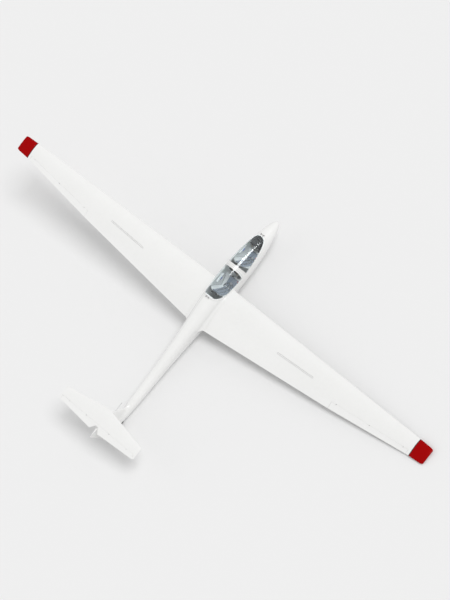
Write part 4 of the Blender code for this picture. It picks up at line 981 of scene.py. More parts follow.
def makeRearHull():
    stations = np.concatenate([
        np.linspace(hull["splitY"] + seam, 7.4, 70), np.linspace(7.42, hull["endY"], 20)
    ])
    rear = newObject("fuselage_rear_skin", ringMesh("rear", hullRings(stations)))
    paintedAs(rear, "gelcoat")
    foot = 0.245
    loop, normal, share = sectionLoop(finRow(foot))
    flipped, outwards = loop[:, ::-1], normal[:, ::-1]
    shear = np.stack([0 * share, -tail["dorsal"] * (1 - share) ** 3], -1)
    grid = filletGrid(flipped, np.full(len(loop), foot), hullTop, outwards, tail["finSpread"], shear,
                      sunk=0.05,
                      limit=lambda y: tail["finReach"] * hullValue(1, y))
    heights = np.linspace(tail["finTop"], foot, 30)
    blade = []
    for height in heights[:-1]:
        points = sectionLoop(finRow(height))[0]
        blade.append(np.column_stack([points[:, 1], points[:, 0], np.full(len(points), height)]))
    fin = ringBlank("fin", np.concatenate([np.array(blade), grid]), "gelcoat")
    carve(rear, [fin], "UNION")
    rings = []
    for height in (-0.42, -0.100, 0.140, 0.900, 1.0):
        axis, nose, end = rudderAt(min(max(height, -0.100), 0.900))
        loop = coveLoop(axis, 0, nose, end + 0.1, 0.3)
        rings.append(np.column_stack([loop[:, 1], loop[:, 0], np.full(len(loop), height)]))
    cove = ringBlank("cove", rings, "gelcoat")
    wheel = wheels["tail"]
    well = paintedAs(
        sidePrism("tail_well", wellOutline(wheel), -wheel["wellHalf"], wheel["wellHalf"]), "wellPaint"
    )
    carve(rear, [cove, well])
    return rear


def makeRudder(rear):
    rings = []
    for height in np.linspace(-0.100, 0.900, 26):
        axis, nose, end = rudderAt(height)
        loop = flapLoop(finRow(height), axis, 0, nose, end)
        rings.append(np.column_stack([loop[:, 1], loop[:, 0], np.full(len(loop), height)]))
    rudder = ringBlank("rudder_skin", rings, "gelcoat")
    start, end = (np.array([0, *point]) for point in tail["rudderAxis"])
    noses = [rudderAt(point[2])[1] for point in (start, end)]
    fitHinges(rear, rudder, start, end, (0.22, 0.86), noses)
    finishSkin(rudder, "rudder", "white_gelcoat", "rudder")


rearHull = makeRearHull()
makeRudder(rearHull)
finishSkin(rearHull, "airframe", "white_gelcoat", "fuselage_rear")


def planeRings(spans, outline):
    return [np.column_stack([
        np.full(len(outline(x)), x), outline(x)[:, 0], tail["planeZ"] + outline(x)[:, 1]
    ])
            for x in spans]


def planeRow(x):
    edge, chord, thick = tableRow(tail["plane"], abs(x))
    return edge, chord, thick, 0.0


def planeNose(x):
    edge, chord, thick, _ = planeRow(x)
    return thick * float(halfThickness((tail["elevatorY"] - edge) / chord))


def makeTailplane():
    half = np.concatenate([np.linspace(0, 1.55, 34), [1.565, 1.58, 1.59, 1.597, 1.60]])
    spans = np.concatenate([-half[:0:-1], half])
    rings = planeRings(spans, lambda x: sectionLoop(planeRow(x))[0])
    plane = ringBlank("tailplane_skin", rings, "gelcoat")
    wide = tail["elevatorSpan"] + wing["gap"]
    axisY = tail["elevatorY"]
    cove = planeRings(
        (-wide, 0, wide),
        lambda x: coveLoop(axisY, 0, planeNose(min(abs(x), tail["elevatorSpan"])), 8.5, 0.2)
    )
    carve(plane, [ringBlank("cove", cove, "gelcoat")])
    loop = sectionLoop(finRow(tail["finTop"]))[0]
    ahead = np.minimum(loop[:, 0], axisY - 0.075)
    heights = (tail["finTop"] + seam, tail["planeZ"])
    saddle = [np.column_stack([loop[:, 1], ahead, np.full(len(loop), z)]) for z in heights]
    carve(plane, [ringBlank("saddle", saddle, "gelcoat")], "UNION")

    def flap(x):
        edge, chord, _, _ = planeRow(x)
        full = edge + chord
        share = np.clip((abs(x) - tail["notchFlat"]) / (tail["notchHalf"] - tail["notchFlat"]), 0, 1)
        notch = axisY + tail["notchDepth"]
        return flapLoop(planeRow(x), axisY, 0, planeNose(x), notch + (full - notch) * share)

    half = np.concatenate([[0.0, 0.025, 0.0499], np.linspace(0.05, 0.175, 10), np.linspace(0.176, 1.53, 40)])
    spans = np.concatenate([-half[:0:-1], half])
    elevator = ringBlank("elevator_skin", planeRings(spans, flap), "gelcoat")
    reach = tail["elevatorSpan"]
    start, end = np.array([-reach, axisY, tail["planeZ"]]), np.array([reach, axisY, tail["planeZ"]])
    fitHinges(plane, elevator, start, end, (0.10, 0.34, 0.66, 0.90), (0.020, 0.020))
    finishSkin(plane, "airframe", "white_gelcoat", "tailplane")
    finishSkin(elevator, "elevator", "white_gelcoat", "elevator")


makeTailplane()
print("tail ready")


# Wings

def wingRow(s):
    return tableRow(wing["rows"], s)


def wingRings(side, stations, loopAt):
    rings = []
    for s in stations:
        loop = loopAt(s)
        rings.append(wingPoint(side, s, loop[:, 0], loop[:, 1]))
    return rings


def surfaceHeight(s, share, sign=1):  # of the wing's skin, at a share of its chord
    _, _, thick, camber = wingRow(s)
    return camber * camberLine(share) + sign * thick * halfThickness(share)


def aileronAt(s):  # axis y and z, nose radius and trailing edge
    edge, chord, thick, camber = wingRow(s)
    share = wing["aileronHinge"]
    middle, half = camber * float(camberLine(share)), thick * float(halfThickness(share))
    return edge + share * chord, middle, half, edge + chord


def brakeFrame(side):  # the airbrake slot's inboard end, its unit vectors and its length
    share = wing["brakeChord"]
    ends = []
    for s in wing["brake"]:
        edge, chord, _, _ = wingRow(s)
        ends.append(wingPoint(1, s, edge + share * chord, surfaceHeight(s, share)))
    turn = hingeAxes(ends[1] - ends[0], (0, 1, 0))
    mirror = np.array([side, 1, 1])
    return ends[0] * mirror, turn * mirror, float(np.linalg.norm(ends[1] - ends[0]))


def makeWing(side, label):
    inner, outer = wing["aileron"]
    stations = np.concatenate([np.linspace(0.40, 5.10, 64), np.linspace(5.15, 8.00, 42)])
    rings = wingRings(side, stations, lambda s: sectionLoop(wingRow(s))[0])
    panel = ringBlank(f"wing_{label}_skin", rings, "gelcoat")

    def cove(s):
        axisY, axisZ, nose, end = aileronAt(s)
        return coveLoop(axisY, axisZ, nose, end + 0.1, 0.2)

    def flap(s):
        axisY, axisZ, nose, end = aileronAt(s)
        return flapLoop(wingRow(s), axisY, axisZ, nose, end)

    gap = wing["gap"]
    cut = wingRings(side, (inner - gap, outer + gap), cove)
    point, turn, length = brakeFrame(side)
    half, deep = wing["slotHalf"], wing["slotDepth"]
    carve(panel, [
        ringBlank("cove", cut, "gelcoat"),
        paintedAs(framedBox("slot", (0, -half, -deep), (length, half, 0.05), point, turn), "wellPaint"),
    ])
    rings = wingRings(side, np.linspace(inner, outer, 34), flap)
    aileron = ringBlank(f"aileron_{label}_skin", rings, "gelcoat")
    ends = [wingPoint(side, s, *aileronAt(s)[:2]) for s in wing["aileron"]]
    fitHinges(
        panel, aileron, ends[0], ends[1], (0.06, 0.50, 0.94), [aileronAt(s)[2] for s in wing["aileron"]]
    )
    brakeStuds(panel, side)
    finishSkin(panel, "airframe", "white_gelcoat", f"wing_{label}")
    finishSkin(aileron, f"aileron_{label}", "white_gelcoat", f"aileron_{label}")


brake = {"arm": 0.118, "armRest": math.radians(8), "pivotDepth": 0.105, "inset": 0.130, "armThick": 0.005,
         "bladeThick": 0.005, "studBack": 0.006, "studPast": 0.004}


def brakeStuds(panel, side):  # the fixed pins of the airbrake's arms, from the slot's front wall
    point, turn, length = brakeFrame(side)
    reach = brake["arm"] * math.cos(brake["armRest"])
    armY = -brake["bladeThick"] / 2 - wing["gap"] - brake["armThick"] / 2
    studs = []
    for x in (brake["inset"], length - brake["inset"] - reach):
        ends = [np.array([x, y, -brake["pivotDepth"]]) @ turn + point
                for y in (-wing["slotHalf"] - brake["studBack"], armY + brake["studPast"])]
        studs.append(paintedAs(rodObject("stud", *ends, hingeSize["pin"]), "steel"))
    carve(panel, studs, "UNION")


tip = {
    "rows": np.array([
        (8.00, 2.565, 0.575, 0.076, 0.014),
        (8.40, 2.578, 0.538, 0.062, 0.012),
        (8.47, 2.590, 0.510, 0.046, 0.010),
        (8.50, 2.615, 0.450, 0.022, 0.006),
    ]),
    "skid": (8.190, 2.800, 0.085, 0.010, 0.012),  # span station, y, radius, half thickness, depth sunk
    "band": 0.022, "bandProud": 0.0006, "skidRound": 0.0035, "tape": (0.4006, 0.426), "tapeProud": 0.0004,
}


def tipRow(s):
    return tableRow(tip["rows"], s)


def makeTip(side, label):
    stations = np.concatenate([
        [8.00 + seam], np.linspace(8.02, 8.40, 16), np.linspace(8.41, 8.47, 8), np.linspace(8.475, 8.50, 8)
    ])
    rings = wingRings(side, stations, lambda s: sectionLoop(tipRow(s))[0])
    made = ringBlank(f"wing_tip_{label}_skin", rings, "redPaint")
    station, y, radius, half, sunk = tip["skid"]
    edge, chord, thick, camber = tipRow(station)
    share = (y - edge) / chord
    under = camber * camberLine(share) - thick * halfThickness(share)
    foot = wingPoint(side, station, y, float(under))
    arc = arcPoints(y, foot[2] + sunk + seam, radius + seam, 180, 360, 41)
    carve(made, [paintedAs(sidePrism("slot", arc, foot[0] - half - seam, foot[0] + half + seam), "redPaint")])
    finishSkin(made, "airframe", "red_paint", f"wing_tip_{label}")
    arc = arcPoints(y, foot[2] + sunk, radius, 180, 360, 41)
    skid = sidePrism(f"wing_tip_skid_{label}", arc, foot[0] - half, foot[0] + half)
    dress(roundEdges(skid, tip["skidRound"]), "rubber", "airframe", [f"tip_skid_{label}"])
    bandPiece(
        f"tip_band_{label}", side, 8.0, 8.0 + tip["band"], tip["bandProud"], tipRow, "blackBand",
        "black_finish"
    )
    bandPiece(
        f"root_tape_{label}", side, *tip["tape"], tip["tapeProud"], wingRow, "sealTape", "white_gelcoat"
    )


# A thin band round the wing between two span stations, its edges turned down into the skin
def bandPiece(name, side, start, end, proud, rowAt, material, slotName):
    rings = []
    for s, out in ((start - seam, -0.004), (start, proud), (end, proud), (end + seam, -0.004)):
        loop, normal, _ = sectionLoop(rowAt(max(s, start)))
        loop = loop + normal * out
        rings.append(wingPoint(side, s, loop[:, 0], loop[:, 1]))
    ringPiece(name, rings, material, "airframe", degrees=40)


for side, label in ((1, "left"), (-1, "right")):
    makeWing(side, label)
    makeTip(side, label)
print("wings ready")


# Canopies

def canopyShell(name, outer, inner, material):  # a stretch of the hull's skin between two depths
    stations = np.linspace(0.36, 3.30, 150)
    made = ringBlank(name, hullRings(stations, outer), material)
    longer = np.concatenate([[0.35], stations[1:-1], [3.31]])
    carve(made, [ringBlank("inside", hullRings(longer, inner), material)])
    return made


def makeCanopy(label, opening):
    spec = canopies[label]
    shut, wide = canopies["shutLine"], canopies["frameWide"]
    frameShell = canopyShell(f"canopy_frame_{label}_skin", 0.0, canopies["frameDeep"], "gelcoat")
    carve(
        frameShell, [paintedAs(sidePrism("edge", insetOutline(opening, shut), -beyond, beyond), "gelcoat")],
        "INTERSECT"
    )
    carve(
        frameShell,
        [paintedAs(sidePrism("window", insetOutline(opening, shut + wide), -beyond, beyond), "gelcoat")]
    )
    x, half, radius, reach, foot = canopies["lug"]
    outline = tabOutline(spec["hinge"], spec["slope"], spec["facing"], radius, reach, foot)
    lugs = [paintedAs(
        sidePrism("lug", outline, side * x - half, side * x + half), "steel"
    ) for side in (-1, 1)]
    carve(frameShell, lugs, "UNION")
    ends = x + half + 0.002
    bore = rodObject(
        "bore", (-ends, *spec["hinge"]), (ends, *spec["hinge"]), canopies["rod"] + hingeSize["play"]
    )
    carve(frameShell, [paintedAs(bore, "steel")])
    finishSkin(frameShell, f"canopy_{label}", "white_gelcoat", f"canopy_frame_{label}")
    inset = canopies["glassInset"]
    pane = canopyShell(f"canopy_glass_{label}_skin", inset, inset + canopies["glassThick"], "acrylic")
    edge = sidePrism("edge", insetOutline(opening, shut + wide + seam), -beyond, beyond)
    carve(pane, [paintedAs(edge, "acrylic")], "INTERSECT")
    finishSkin(pane, f"canopy_{label}", "canopy_acrylic", f"canopy_glass_{label}")


makeCanopy("front", frontOpening())
makeCanopy("rear", rearOpening())
print("canopies ready")


# Cockpit

# The seats' side lines as (y, z), front edge to top of the back, and the pads that lie along them
seats = {
    "front": [(1.120, -0.305), (1.400, -0.385), (1.500, -0.370), (1.700, 0.010), (1.760, 0.170)],
    "rear": [(2.120, -0.230), (2.500, -0.345), (2.600, -0.330), (2.800, 0.050), (2.850, 0.210)],
    "bend": 0.060, "runOn": 0.3, "thick": 0.008, "wall": 0.0207, "lip": 0.030, "lipFrom": 0.78, "curl": 0.018,
    "shoulder": 0.22, "shoulderLong": 0.15, "hipAt": 0.392,
    "padHalf": 0.176, "padThick": 0.024, "padRound": 0.011, "padRise": 0.0086, "padEnd": 0.022,
    "hipGap": 0.012,
    "voxel": 0.006, "pressure": 4.0, "swell": 0.010, "frames": 20,
    "channelDeep": 0.006, "channelHalf": 0.005, "channelStep": 0.078, "piping": 0.0035,
}


# A line whose corners are rounded by parabolas that reach a distance along each side
def roundedLine(points, reach, steps=10):
    points = np.asarray(points, float)
    line = [points[:1]]
    t = np.linspace(0, 1, steps)[:, None]
    for before, corner, after in zip(points, points[1:], points[2:]):
        ends = []
        for other in (before, after):
            away = other - corner
            far = np.linalg.norm(away)
            ends.append(corner + away * min(reach, far * 0.49) / far)
        line.append((1 - t) ** 2 * ends[0] + 2 * t * (1 - t) * corner + t**2 * ends[1])
    return np.vstack(line + [points[-1:]])


def seatLength(label):
    return float(np.linalg.norm(np.diff(roundedLine(seats[label], seats["bend"]), axis=0), axis=1).sum())


# The seat's line at distances along it: points (y, z) and the normals up from the seat. It runs on straight.
def seatLine(label, at):
    line = roundedLine(seats[label], seats["bend"])
    along = np.concatenate([[0], np.cumsum(np.linalg.norm(np.diff(line, axis=0), axis=1))])
    past = seats["runOn"]
    ahead = (line[1] - line[0]) / (along[1] - along[0])
    behind = (line[-1] - line[-2]) / (along[-1] - along[-2])
    line = np.vstack([line[:1] - past * ahead, line, line[-1:] + past * behind])
    along = np.concatenate([[-past], along, [along[-1] + past]])
    step = 0.004
    place = [np.stack([np.interp(at + k, along, line[:, c]) for c in (0, 1)], -1) for k in (-step, 0, step)]
    tangent = place[2] - place[0]
    tangent /= np.linalg.norm(tangent, axis=-1)[..., None]
    return place[1], np.stack([-tangent[..., 1], tangent[..., 0]], -1)


def seatPoint(label, x, at, rise):  # a point over the seat's line, square to it
    x, at, rise = np.broadcast_arrays(*(np.asarray(value, float) for value in (x, at, rise)))
    point, normal = seatLine(label, at)
    spot = point + normal * rise[..., None]
    return np.stack([x, spot[..., 0], spot[..., 1]], -1)


def seatNormal(label, at):
    normal = seatLine(label, np.asarray(at, float))[1]
    return np.concatenate([np.zeros((*normal.shape[:-1], 1)), normal], -1)


# Where points lie on the seat: distance along its line and height over it, from the nearest of many samples
def seatPlace(label, points):
    at = np.linspace(0, seatLength(label), 420)
    line, normal = seatLine(label, at)
    flat = points[:, 1:]
    far = (flat**2).sum(1)[:, None] + (line**2).sum(1)[None] - 2 * flat @ line.T
    near = far.argmin(1)
    off = flat - line[near]
    rise = (off * normal[near]).sum(1)
    ahead = np.stack([normal[near][:, 1], -normal[near][:, 0]], -1)
    return at[near] + (off * ahead).sum(1), rise


def ease(share):  # from 0 to 1 with level ends
    share = np.clip(share, 0, 1)
    return share * share * (3 - 2 * share)


def insideLimit(y, z):  # half the cabin's width
    return hullSide(y, z) - seats["wall"]


def toAircraft(points):
    return (np.asarray(points, float) - nosePoint) @ axes.T


def meshPoints(mesh):
    flat = np.zeros(len(mesh.vertices) * 3, np.float32)
    mesh.vertices.foreach_get("co", flat)
    return flat.reshape(-1, 3).astype(float)


def movePoints(mesh, points):
    mesh.vertices.foreach_set("co", np.asarray(points, np.float32).ravel())
    mesh.update()


def setUv(mesh, uv):  # one (u, v) a vertex, in metres
    index = np.zeros(len(mesh.loops), np.int32)
    mesh.loops.foreach_get("vertex_index", index)
    layer = mesh.uv_layers.new(name="surface")
    layer.data.foreach_set("uv", np.asarray(uv, np.float32)[index].ravel())


# A bent shell as wide as the cabin: its sides rise to a lip, its front edge curls down, its top narrows
def makeSeatShell(label):
    length = seatLength(label)
    at = np.linspace(0, length, 70)[:, None]
    share = np.linspace(-1, 1, 57)[None]
    line, _ = seatLine(label, at[:, 0])
    half = insideLimit(line[:, 0], line[:, 1])[:, None]
    narrowing = ease((at - length + seats["shoulderLong"]) / seats["shoulderLong"])
    half = half * (1 - seats["shoulder"] * narrowing)
    rise = seats["lip"] * ease((np.abs(share) - seats["lipFrom"]) / (1 - seats["lipFrom"]))
    rise = rise - seats["curl"] * np.clip(1 - at / 0.05, 0, 1) ** 2
    sides = []
    for extra in (seats["thick"], 0.0):
        side = seatPoint(label, half * share, at, rise + extra)
        limit = insideLimit(side[..., 1], side[..., 2])
        side[..., 0] = np.clip(side[..., 0], -limit, limit)
        sides.append(side)
    rings = np.concatenate([sides[0], sides[1][:, ::-1]], 1)
    made = ringPiece(f"{label}_seat_shell", rings, "cabinGrey", "airframe", [f"{label}_seat"])
    rim = sides[0][-1]
    path = np.concatenate([sides[0][:, 0][8:], rim[1:-1], sides[0][::-1, -1][:-8]])
    ringPiece(
        f"{label}_seat_rim", tubeRings(path[::2], 0.0045, 10), "vinyl", "airframe",
        degrees=60
    )
    return made


# The pad before it is stuffed: a rounded rectangle carried along the seat, drawn in at both ends
def padRings(label, first, last):
    radius, half, thick = seats["padRound"], seats["padHalf"], seats["padThick"] / 2
    turn = np.linspace(0, np.pi / 2, 6)
    edge = radius * (1 - np.sin(turn))
    at = np.concatenate([
        first + edge[::-1], np.linspace(first + radius, last - radius, 60)[1:-1], last - edge
    ])
    past = np.maximum(0, radius - np.minimum(at - first, last - at))
    inset = radius - np.sqrt(np.maximum(0, radius**2 - past**2))
    angle = np.concatenate([np.linspace(k, k + 1, 6) * np.pi / 2 for k in range(4)])
    signs = np.repeat([(1, 1), (-1, 1), (-1, -1), (1, -1)], 6, axis=0)
    corner = np.maximum(radius - inset * 0.9, 0.001)[:, None]
    x = signs[:, 0] * (half - inset[:, None] - corner) + corner * np.cos(angle)
    rise = signs[:, 1] * (thick - inset[:, None] * 0.9 - corner) + corner * np.sin(angle)
    return seatPoint(label, x, at[:, None], seats["padRise"] + thick + rise)


# Air pressure inside the cloth, without weight, capped, with the modifier gone at the end
def swellPad(made):
    remesh = made.modifiers.new("even", "REMESH")
    remesh.mode = "VOXEL"
    remesh.voxel_size = seats["voxel"]
    bake(made)
    start = meshPoints(made.data)
    cloth = made.modifiers.new("swell", "CLOTH")
    cloth.settings.use_pressure = True
    cloth.settings.uniform_pressure_force = seats["pressure"]
    cloth.settings.effector_weights.gravity = 0
    cloth.point_cache.frame_start = 1
    cloth.point_cache.frame_end = seats["frames"]
    for step in range(1, seats["frames"] + 1):
        bpy.context.scene.frame_set(step)
    graph = bpy.context.evaluated_depsgraph_get()
    swollen = meshPoints(made.evaluated_get(graph).data)
    made.modifiers.clear()
    bpy.context.scene.frame_set(1)
    move = swollen - start
    far = np.linalg.norm(move, axis=1)[:, None]
    movePoints(made.data, start + move * np.minimum(1, seats["swell"] / np.maximum(far, 1e-9)))


def makePad(label, part, first, last):
    made = newObject(f"{label}_{part}_pad", ringMesh("pad", padRings(label, first, last)))
    swellPad(made)
    finer = made.modifiers.new("finer", "SUBSURF")
    finer.levels = finer.render_levels = 1
    bake(made)
    points = toAircraft(meshPoints(made.data))
    at, rise = seatPlace(label, points)
    upper = ease((rise - seats["padRise"] - seats["padThick"] * 0.35) / (seats["padThick"] * 0.4))
    count = max(2, round((last - first) / seats["channelStep"]))
    groove = 0 * at
    for seamAt in np.linspace(first, last, count + 1)[1:-1]:
        groove = np.maximum(groove, np.exp(-(((at - seamAt) / seats["channelHalf"]) ** 2)))
    reach = np.clip((seats["padHalf"] - 0.012 - np.abs(points[:, 0])) / 0.02, 0, 1)
    lower = seats["channelDeep"] * groove * upper * reach
    lower = np.minimum(lower, np.maximum(rise - seats["padRise"], 0))
    lift = np.maximum(0, seats["padRise"] - rise)
    points = points + seatNormal(label, at) * (lift - lower)[:, None]
    movePoints(made.data, toRow(points))
    setUv(made.data, np.stack([points[:, 0] + rise, at + rise], -1))
    dress(made, "seatCloth", "airframe", [f"{label}_cushion"], degrees=70)
    makePiping(label, part, first, last, surfaceTree([made]))
    return made


def surfaceTree(objects):  # what a line can be cast on to
    shape = bmesh.new()
    for item in objects:
        shape.from_mesh(item.data)
    tree = BVHTree.FromBMesh(shape)
    shape.free()
    return tree


# A cord in the pad's side seam: from outside, lines are cast at half its height all round a superellipse
def makePiping(label, part, first, last, tree):
    angle = np.arange(120) * 2 * np.pi / 120
    c, s = np.cos(angle), np.sin(angle)
    across, along = np.sign(c) * np.abs(c) ** 0.25, np.sign(s) * np.abs(s) ** 0.25
    half, middle, rise = (last - first) / 2, (first + last) / 2, seats["padRise"] + seats["padThick"] * 0.55
    outer = toRow(seatPoint(label, (seats["padHalf"] + 0.03) * across, middle + (half + 0.03) * along, rise))
    inner = toRow(seatPoint(label, (seats["padHalf"] - 0.05) * across, middle + (half - 0.05) * along, rise))
    path = []
    for a, b in zip(outer, inner):
        way = b - a
        hit = tree.ray_cast(Vector(a), Vector(way / np.linalg.norm(way)), float(np.linalg.norm(way)))[0]
        path.append(np.array(hit) if hit is not None else (a + b) / 2)
    path = toAircraft(path)
    padded = np.concatenate([path[-2:], path, path[:2]])
    path = sum(padded[k:k + len(path)] for k in range(5)) / 5
    rings = tubeRings(path, seats["piping"], 8)
    ringPiece(f"{label}_{part}_piping", rings, "vinyl", "airframe", wrapRows=True, degrees=80)


# Harness: webbing by (x, distance along the seat) points, which lies on whatever is under it
harness = {
    "wide": 0.044, "thick": 0.0018, "lift": 0.0012, "buckleAt": 0.215, "step": 0.006,
    "lap": [(0.205, 0.430), (0.192, 0.385), (0.150, 0.325), (0.090, 0.262), (0.022, 0.222)],
    "shoulder": [(0.060, 1.000), (0.066, 0.900), (0.070, 0.700), (0.064, 0.520), (0.050, 0.400),
                 (0.034, 0.310),
                 (0.014, 0.236)],
    "buckle": [(0.000, 0.027), (0.010, 0.027), (0.0135, 0.0245), (0.0135, 0.017), (0.0105, 0.016),
               (0.0105, 0.012),
               (0.0165, 0.011), (0.0175, 0.009)],
}


def lieOn(label, tree, x, at):  # heights over the seat's line of what a line cast down at it meets
    top = toRow(seatPoint(label, x, at, 0.16))
    foot = toRow(seatPoint(label, x, at, -0.02))
    heights = []
    for a, b in zip(top, foot):
        way = b - a
        hit = tree.ray_cast(Vector(a), Vector(way / np.linalg.norm(way)), 0.18)
        heights.append(0.16 - hit[3] if hit[0] is not None else seats["thick"])
    heights = np.array(heights)
    held = np.pad(heights, 4, mode="edge")
    held = np.max([held[k:k + len(heights)] for k in range(9)], axis=0)
    held = np.pad(held, 3, mode="edge")
    return sum(held[k:k + len(heights)] for k in range(7)) / 7


def strapPiece(name, label, tree, points, wide, lift=0.0):
    line = smoothPath(points, 12)
    along = np.concatenate([[0], np.cumsum(np.linalg.norm(np.diff(line, axis=0), axis=1))])
    even = np.linspace(0, along[-1], int(along[-1] / harness["step"]) + 2)
    x, at = (np.interp(even, along, line[:, k]) for k in (0, 1))
    rise = lieOn(label, tree, x, at) + harness["lift"] + lift
    centre = seatPoint(label, x, at, rise)
    normal = seatNormal(label, at)
    tangent = np.gradient(centre, axis=0)
    across = np.cross(tangent, normal)
    across /= np.linalg.norm(across, axis=1)[:, None]
    over = np.cross(across, tangent)
    over /= np.linalg.norm(over, axis=1)[:, None]
    corners = [
        (-0.5, 0.3), (-0.46, 0.5), (-0.4, 0.42), (0.4, 0.42), (0.46, 0.5), (0.5, 0.3), (0.5, -0.5),
        (-0.5, -0.5)
    ]
    rings = np.stack([centre + across * (u * wide) + over * (v * harness["thick"]) for u, v in corners], 1)
    made = ringPiece(name, rings, "webbing", "airframe", degrees=40)
    spread = np.array([u * wide for u, _ in corners])
    if len(made.data.vertices) == len(even) * len(corners):
        uv = np.stack(np.broadcast_arrays(spread[None], even[:, None]), -1).reshape(-1, 2)
        setUv(made.data, uv)
    return centre, across, over


# A rounded plate in a local frame: across, along and over are unit vectors
def framePlate(centre, across, along, over, size, bevel=0.0012):
    rings = np.array(boxRings(-np.asarray(size) / 2, np.asarray(size) / 2, bevel))
    return np.asarray(centre) + rings @ np.stack([across, along, over])


# A ball's profile: distance along the axis = centre - radius cos, distance from it = radius sin
def ballProfile(centre, radius, count):
    turn = np.linspace(0, np.pi, count)
    return np.stack([centre - radius * np.cos(turn), radius * np.sin(turn) + seam], -1)


# A turned solid: rings of (distance along the axis, radius) pairs
def latheRings(base, axis, profile, sides=32):
    axis = np.asarray(axis, float) / np.linalg.norm(axis)
    other = np.cross(axis, (0.3, 0.5, 0.81))
    other /= np.linalg.norm(other)
    third = np.cross(axis, other)
    angle = np.arange(sides) * 2 * np.pi / sides
    circle = np.cos(angle)[:, None] * other + np.sin(angle)[:, None] * third
    along, radius = np.asarray(profile, float).T
    return np.asarray(base, float) + along[:, None, None] * axis + radius[:, None, None] * circle[None]


def makeHarness(label, tree):
    metal = []
    length = seatLength(label)
    for side, mark in ((1, "left"), (-1, "right")):
        for kind, last in (("lap", 1.0), ("shoulder", length - 0.006)):
            points = np.array([(side * x, min(at, last)) for x, at in harness[kind]])
            lift = 0.0025 if kind == "shoulder" else 0.0
            centre, across, over = strapPiece(
                f"{label}_{kind}_strap_{mark}", label, tree, points, harness["wide"], lift
            )
            for share in ((0.45,) if kind == "lap" else (0.52,)):
                k = int(len(centre) * share)
                along = np.cross(over[k], across[k])
                for offset in (-0.013, 0.0, 0.013):
                    spot = centre[k] + along * offset + over[k] * 0.0028
                    metal.append(framePlate(spot, across[k], along, over[k], (0.056, 0.005, 0.0035)))
                for edge in (-0.026, 0.026):
                    spot = centre[k] + across[k] * edge + over[k] * 0.0026
                    metal.append(framePlate(spot, across[k], along, over[k], (0.005, 0.032, 0.004)))
            tongue = centre[-1] + over[-1] * 0.001
            metal.append(framePlate(
                tongue, across[-1], np.cross(over[-1], across[-1]), over[-1], (0.034, 0.030, 0.003)
            ))
    at = harness["buckleAt"]
    rise = lieOn(label, tree, np.zeros(1), np.array([at]))[0] + 0.004
    base, axis = seatPoint(label, 0, at, rise), seatNormal(label, at)
    metal.append(latheRings(base, axis, harness["buckle"], 40))
    ahead = np.cross(axis, (1, 0, 0))
    metal.append(framePlate(base + axis * 0.017, (1, 0, 0), ahead, axis, (0.010, 0.042, 0.006), 0.002))
    ringPieces(f"{label}_harness_metal", metal, "steel", "airframe", degrees=40)


# Headrest: a pad shaped as a superellipsoid on two posts out of the seat's top
headrest = {
    "half": (0.105, 0.024, 0.050), "power": 0.42, "rise": 0.078, "lean": 0.016, "post": 0.006,
    "postX": 0.055
}


def makeHeadrest(label):
    a = np.linspace(-np.pi / 2, np.pi / 2, 41)[:, None]
    b = (np.arange(64) * 2 * np.pi / 64)[None]
    power = headrest["power"]

    def bent(value):
        return np.sign(value) * np.abs(value) ** power

    wide, deep, tall = headrest["half"]
    shape = np.stack([
        wide * bent(np.sin(a)) + 0 * b,
        deep * bent(np.cos(a)) * bent(np.cos(b)),
        tall * bent(np.cos(a)) * bent(np.sin(b)),
    ], -1)
    shape[..., 1] += 0.20 * shape[..., 0] ** 2 / wide - 0.02 * wide
    top = np.array(seats[label][-1])
    middle = np.array([0, top[0] + headrest["lean"], top[1] + headrest["rise"]])
    turn = math.atan2(*(top - np.array(seats[label][-2])))
    c, s = math.cos(turn), math.sin(turn)
    turned = np.stack(
        [shape[..., 0], shape[..., 1] * c + shape[..., 2] * s, shape[..., 2] * c - shape[..., 1] * s], -1
    )
    pad = ringPiece(f"{label}_headrest_pad", turned + middle, "vinyl", "airframe", degrees=70)
    posts = []
    for side in (-1, 1):
        x = side * headrest["postX"]
        foot = np.array([x, top[0] + 0.004, top[1] - 0.06])
        posts.append(tubeRings([foot, (x, *(top + (0.008, 0.02))), middle + (x, 0, 0)], headrest["post"], 14))
    ringPieces(f"{label}_headrest_posts", posts, "steel", "airframe", degrees=50)


def makeSeats():
    for label in ("front", "rear"):
        shell = makeSeatShell(label)
        length = seatLength(label)
        hip, gap, end = seats["hipAt"], seats["hipGap"], seats["padEnd"]
        pads = [makePad(label, "seat", end, hip - gap), makePad(label, "back", hip + gap, length - end)]
        makeHarness(label, surfaceTree([shell, *pads]))
        makeHeadrest(label)


makeSeats()
print("seats ready")


# Instrument pods: side outlines as (y, z), aft face from top to bottom last; dials by place on that face
pods = {
    "front": {"outline": [(0.960, -0.130), (0.780, -0.040), (0.780, 0.030), (0.860, 0.100), (1.010, 0.165)],
              "face": [(1.040, 0.160), (1.030, -0.100)], "half": 0.150,
              "foot": (0.900, 0.950, -0.284, -0.060),
              "dials": [("speed", -0.092, 0.050, 0.040), ("climb", 0.000, 0.050, 0.040),
                        ("height", 0.092, 0.050, 0.040), ("climb", -0.060, -0.040, 0.029)],
              "radio": (0.030, -0.040), "switches": (-0.080, -0.100), "compass": (0.985, 0.181)},
    "rear": {"outline": [(1.960, 0.000), (1.880, 0.060), (1.880, 0.200), (1.910, 0.250), (2.010, 0.262)],
             "face": [(2.030, 0.250), (2.010, 0.020)], "half": 0.130, "foot": (1.920, 1.970, -0.4297, 0.050),
             "dials": [("speed", -0.066, 0.046, 0.040), ("height", 0.066, 0.046, 0.040),
                       ("climb", 0.000, -0.044, 0.040)],
             "radio": (0.086, -0.055), "switches": (-0.105, -0.075), "compass": None},
    "footHalf": 0.040, "round": 0.007, "plate": 0.003, "plateIn": 0.012,
    "bezel": [(-0.004, 1.00), (0.006, 1.00), (0.0085, 0.96), (0.0085, 0.90), (0.0035, 0.84)],
    "tick": 0.0010, "needle": 0.0014, "digit": 0.0085,
}
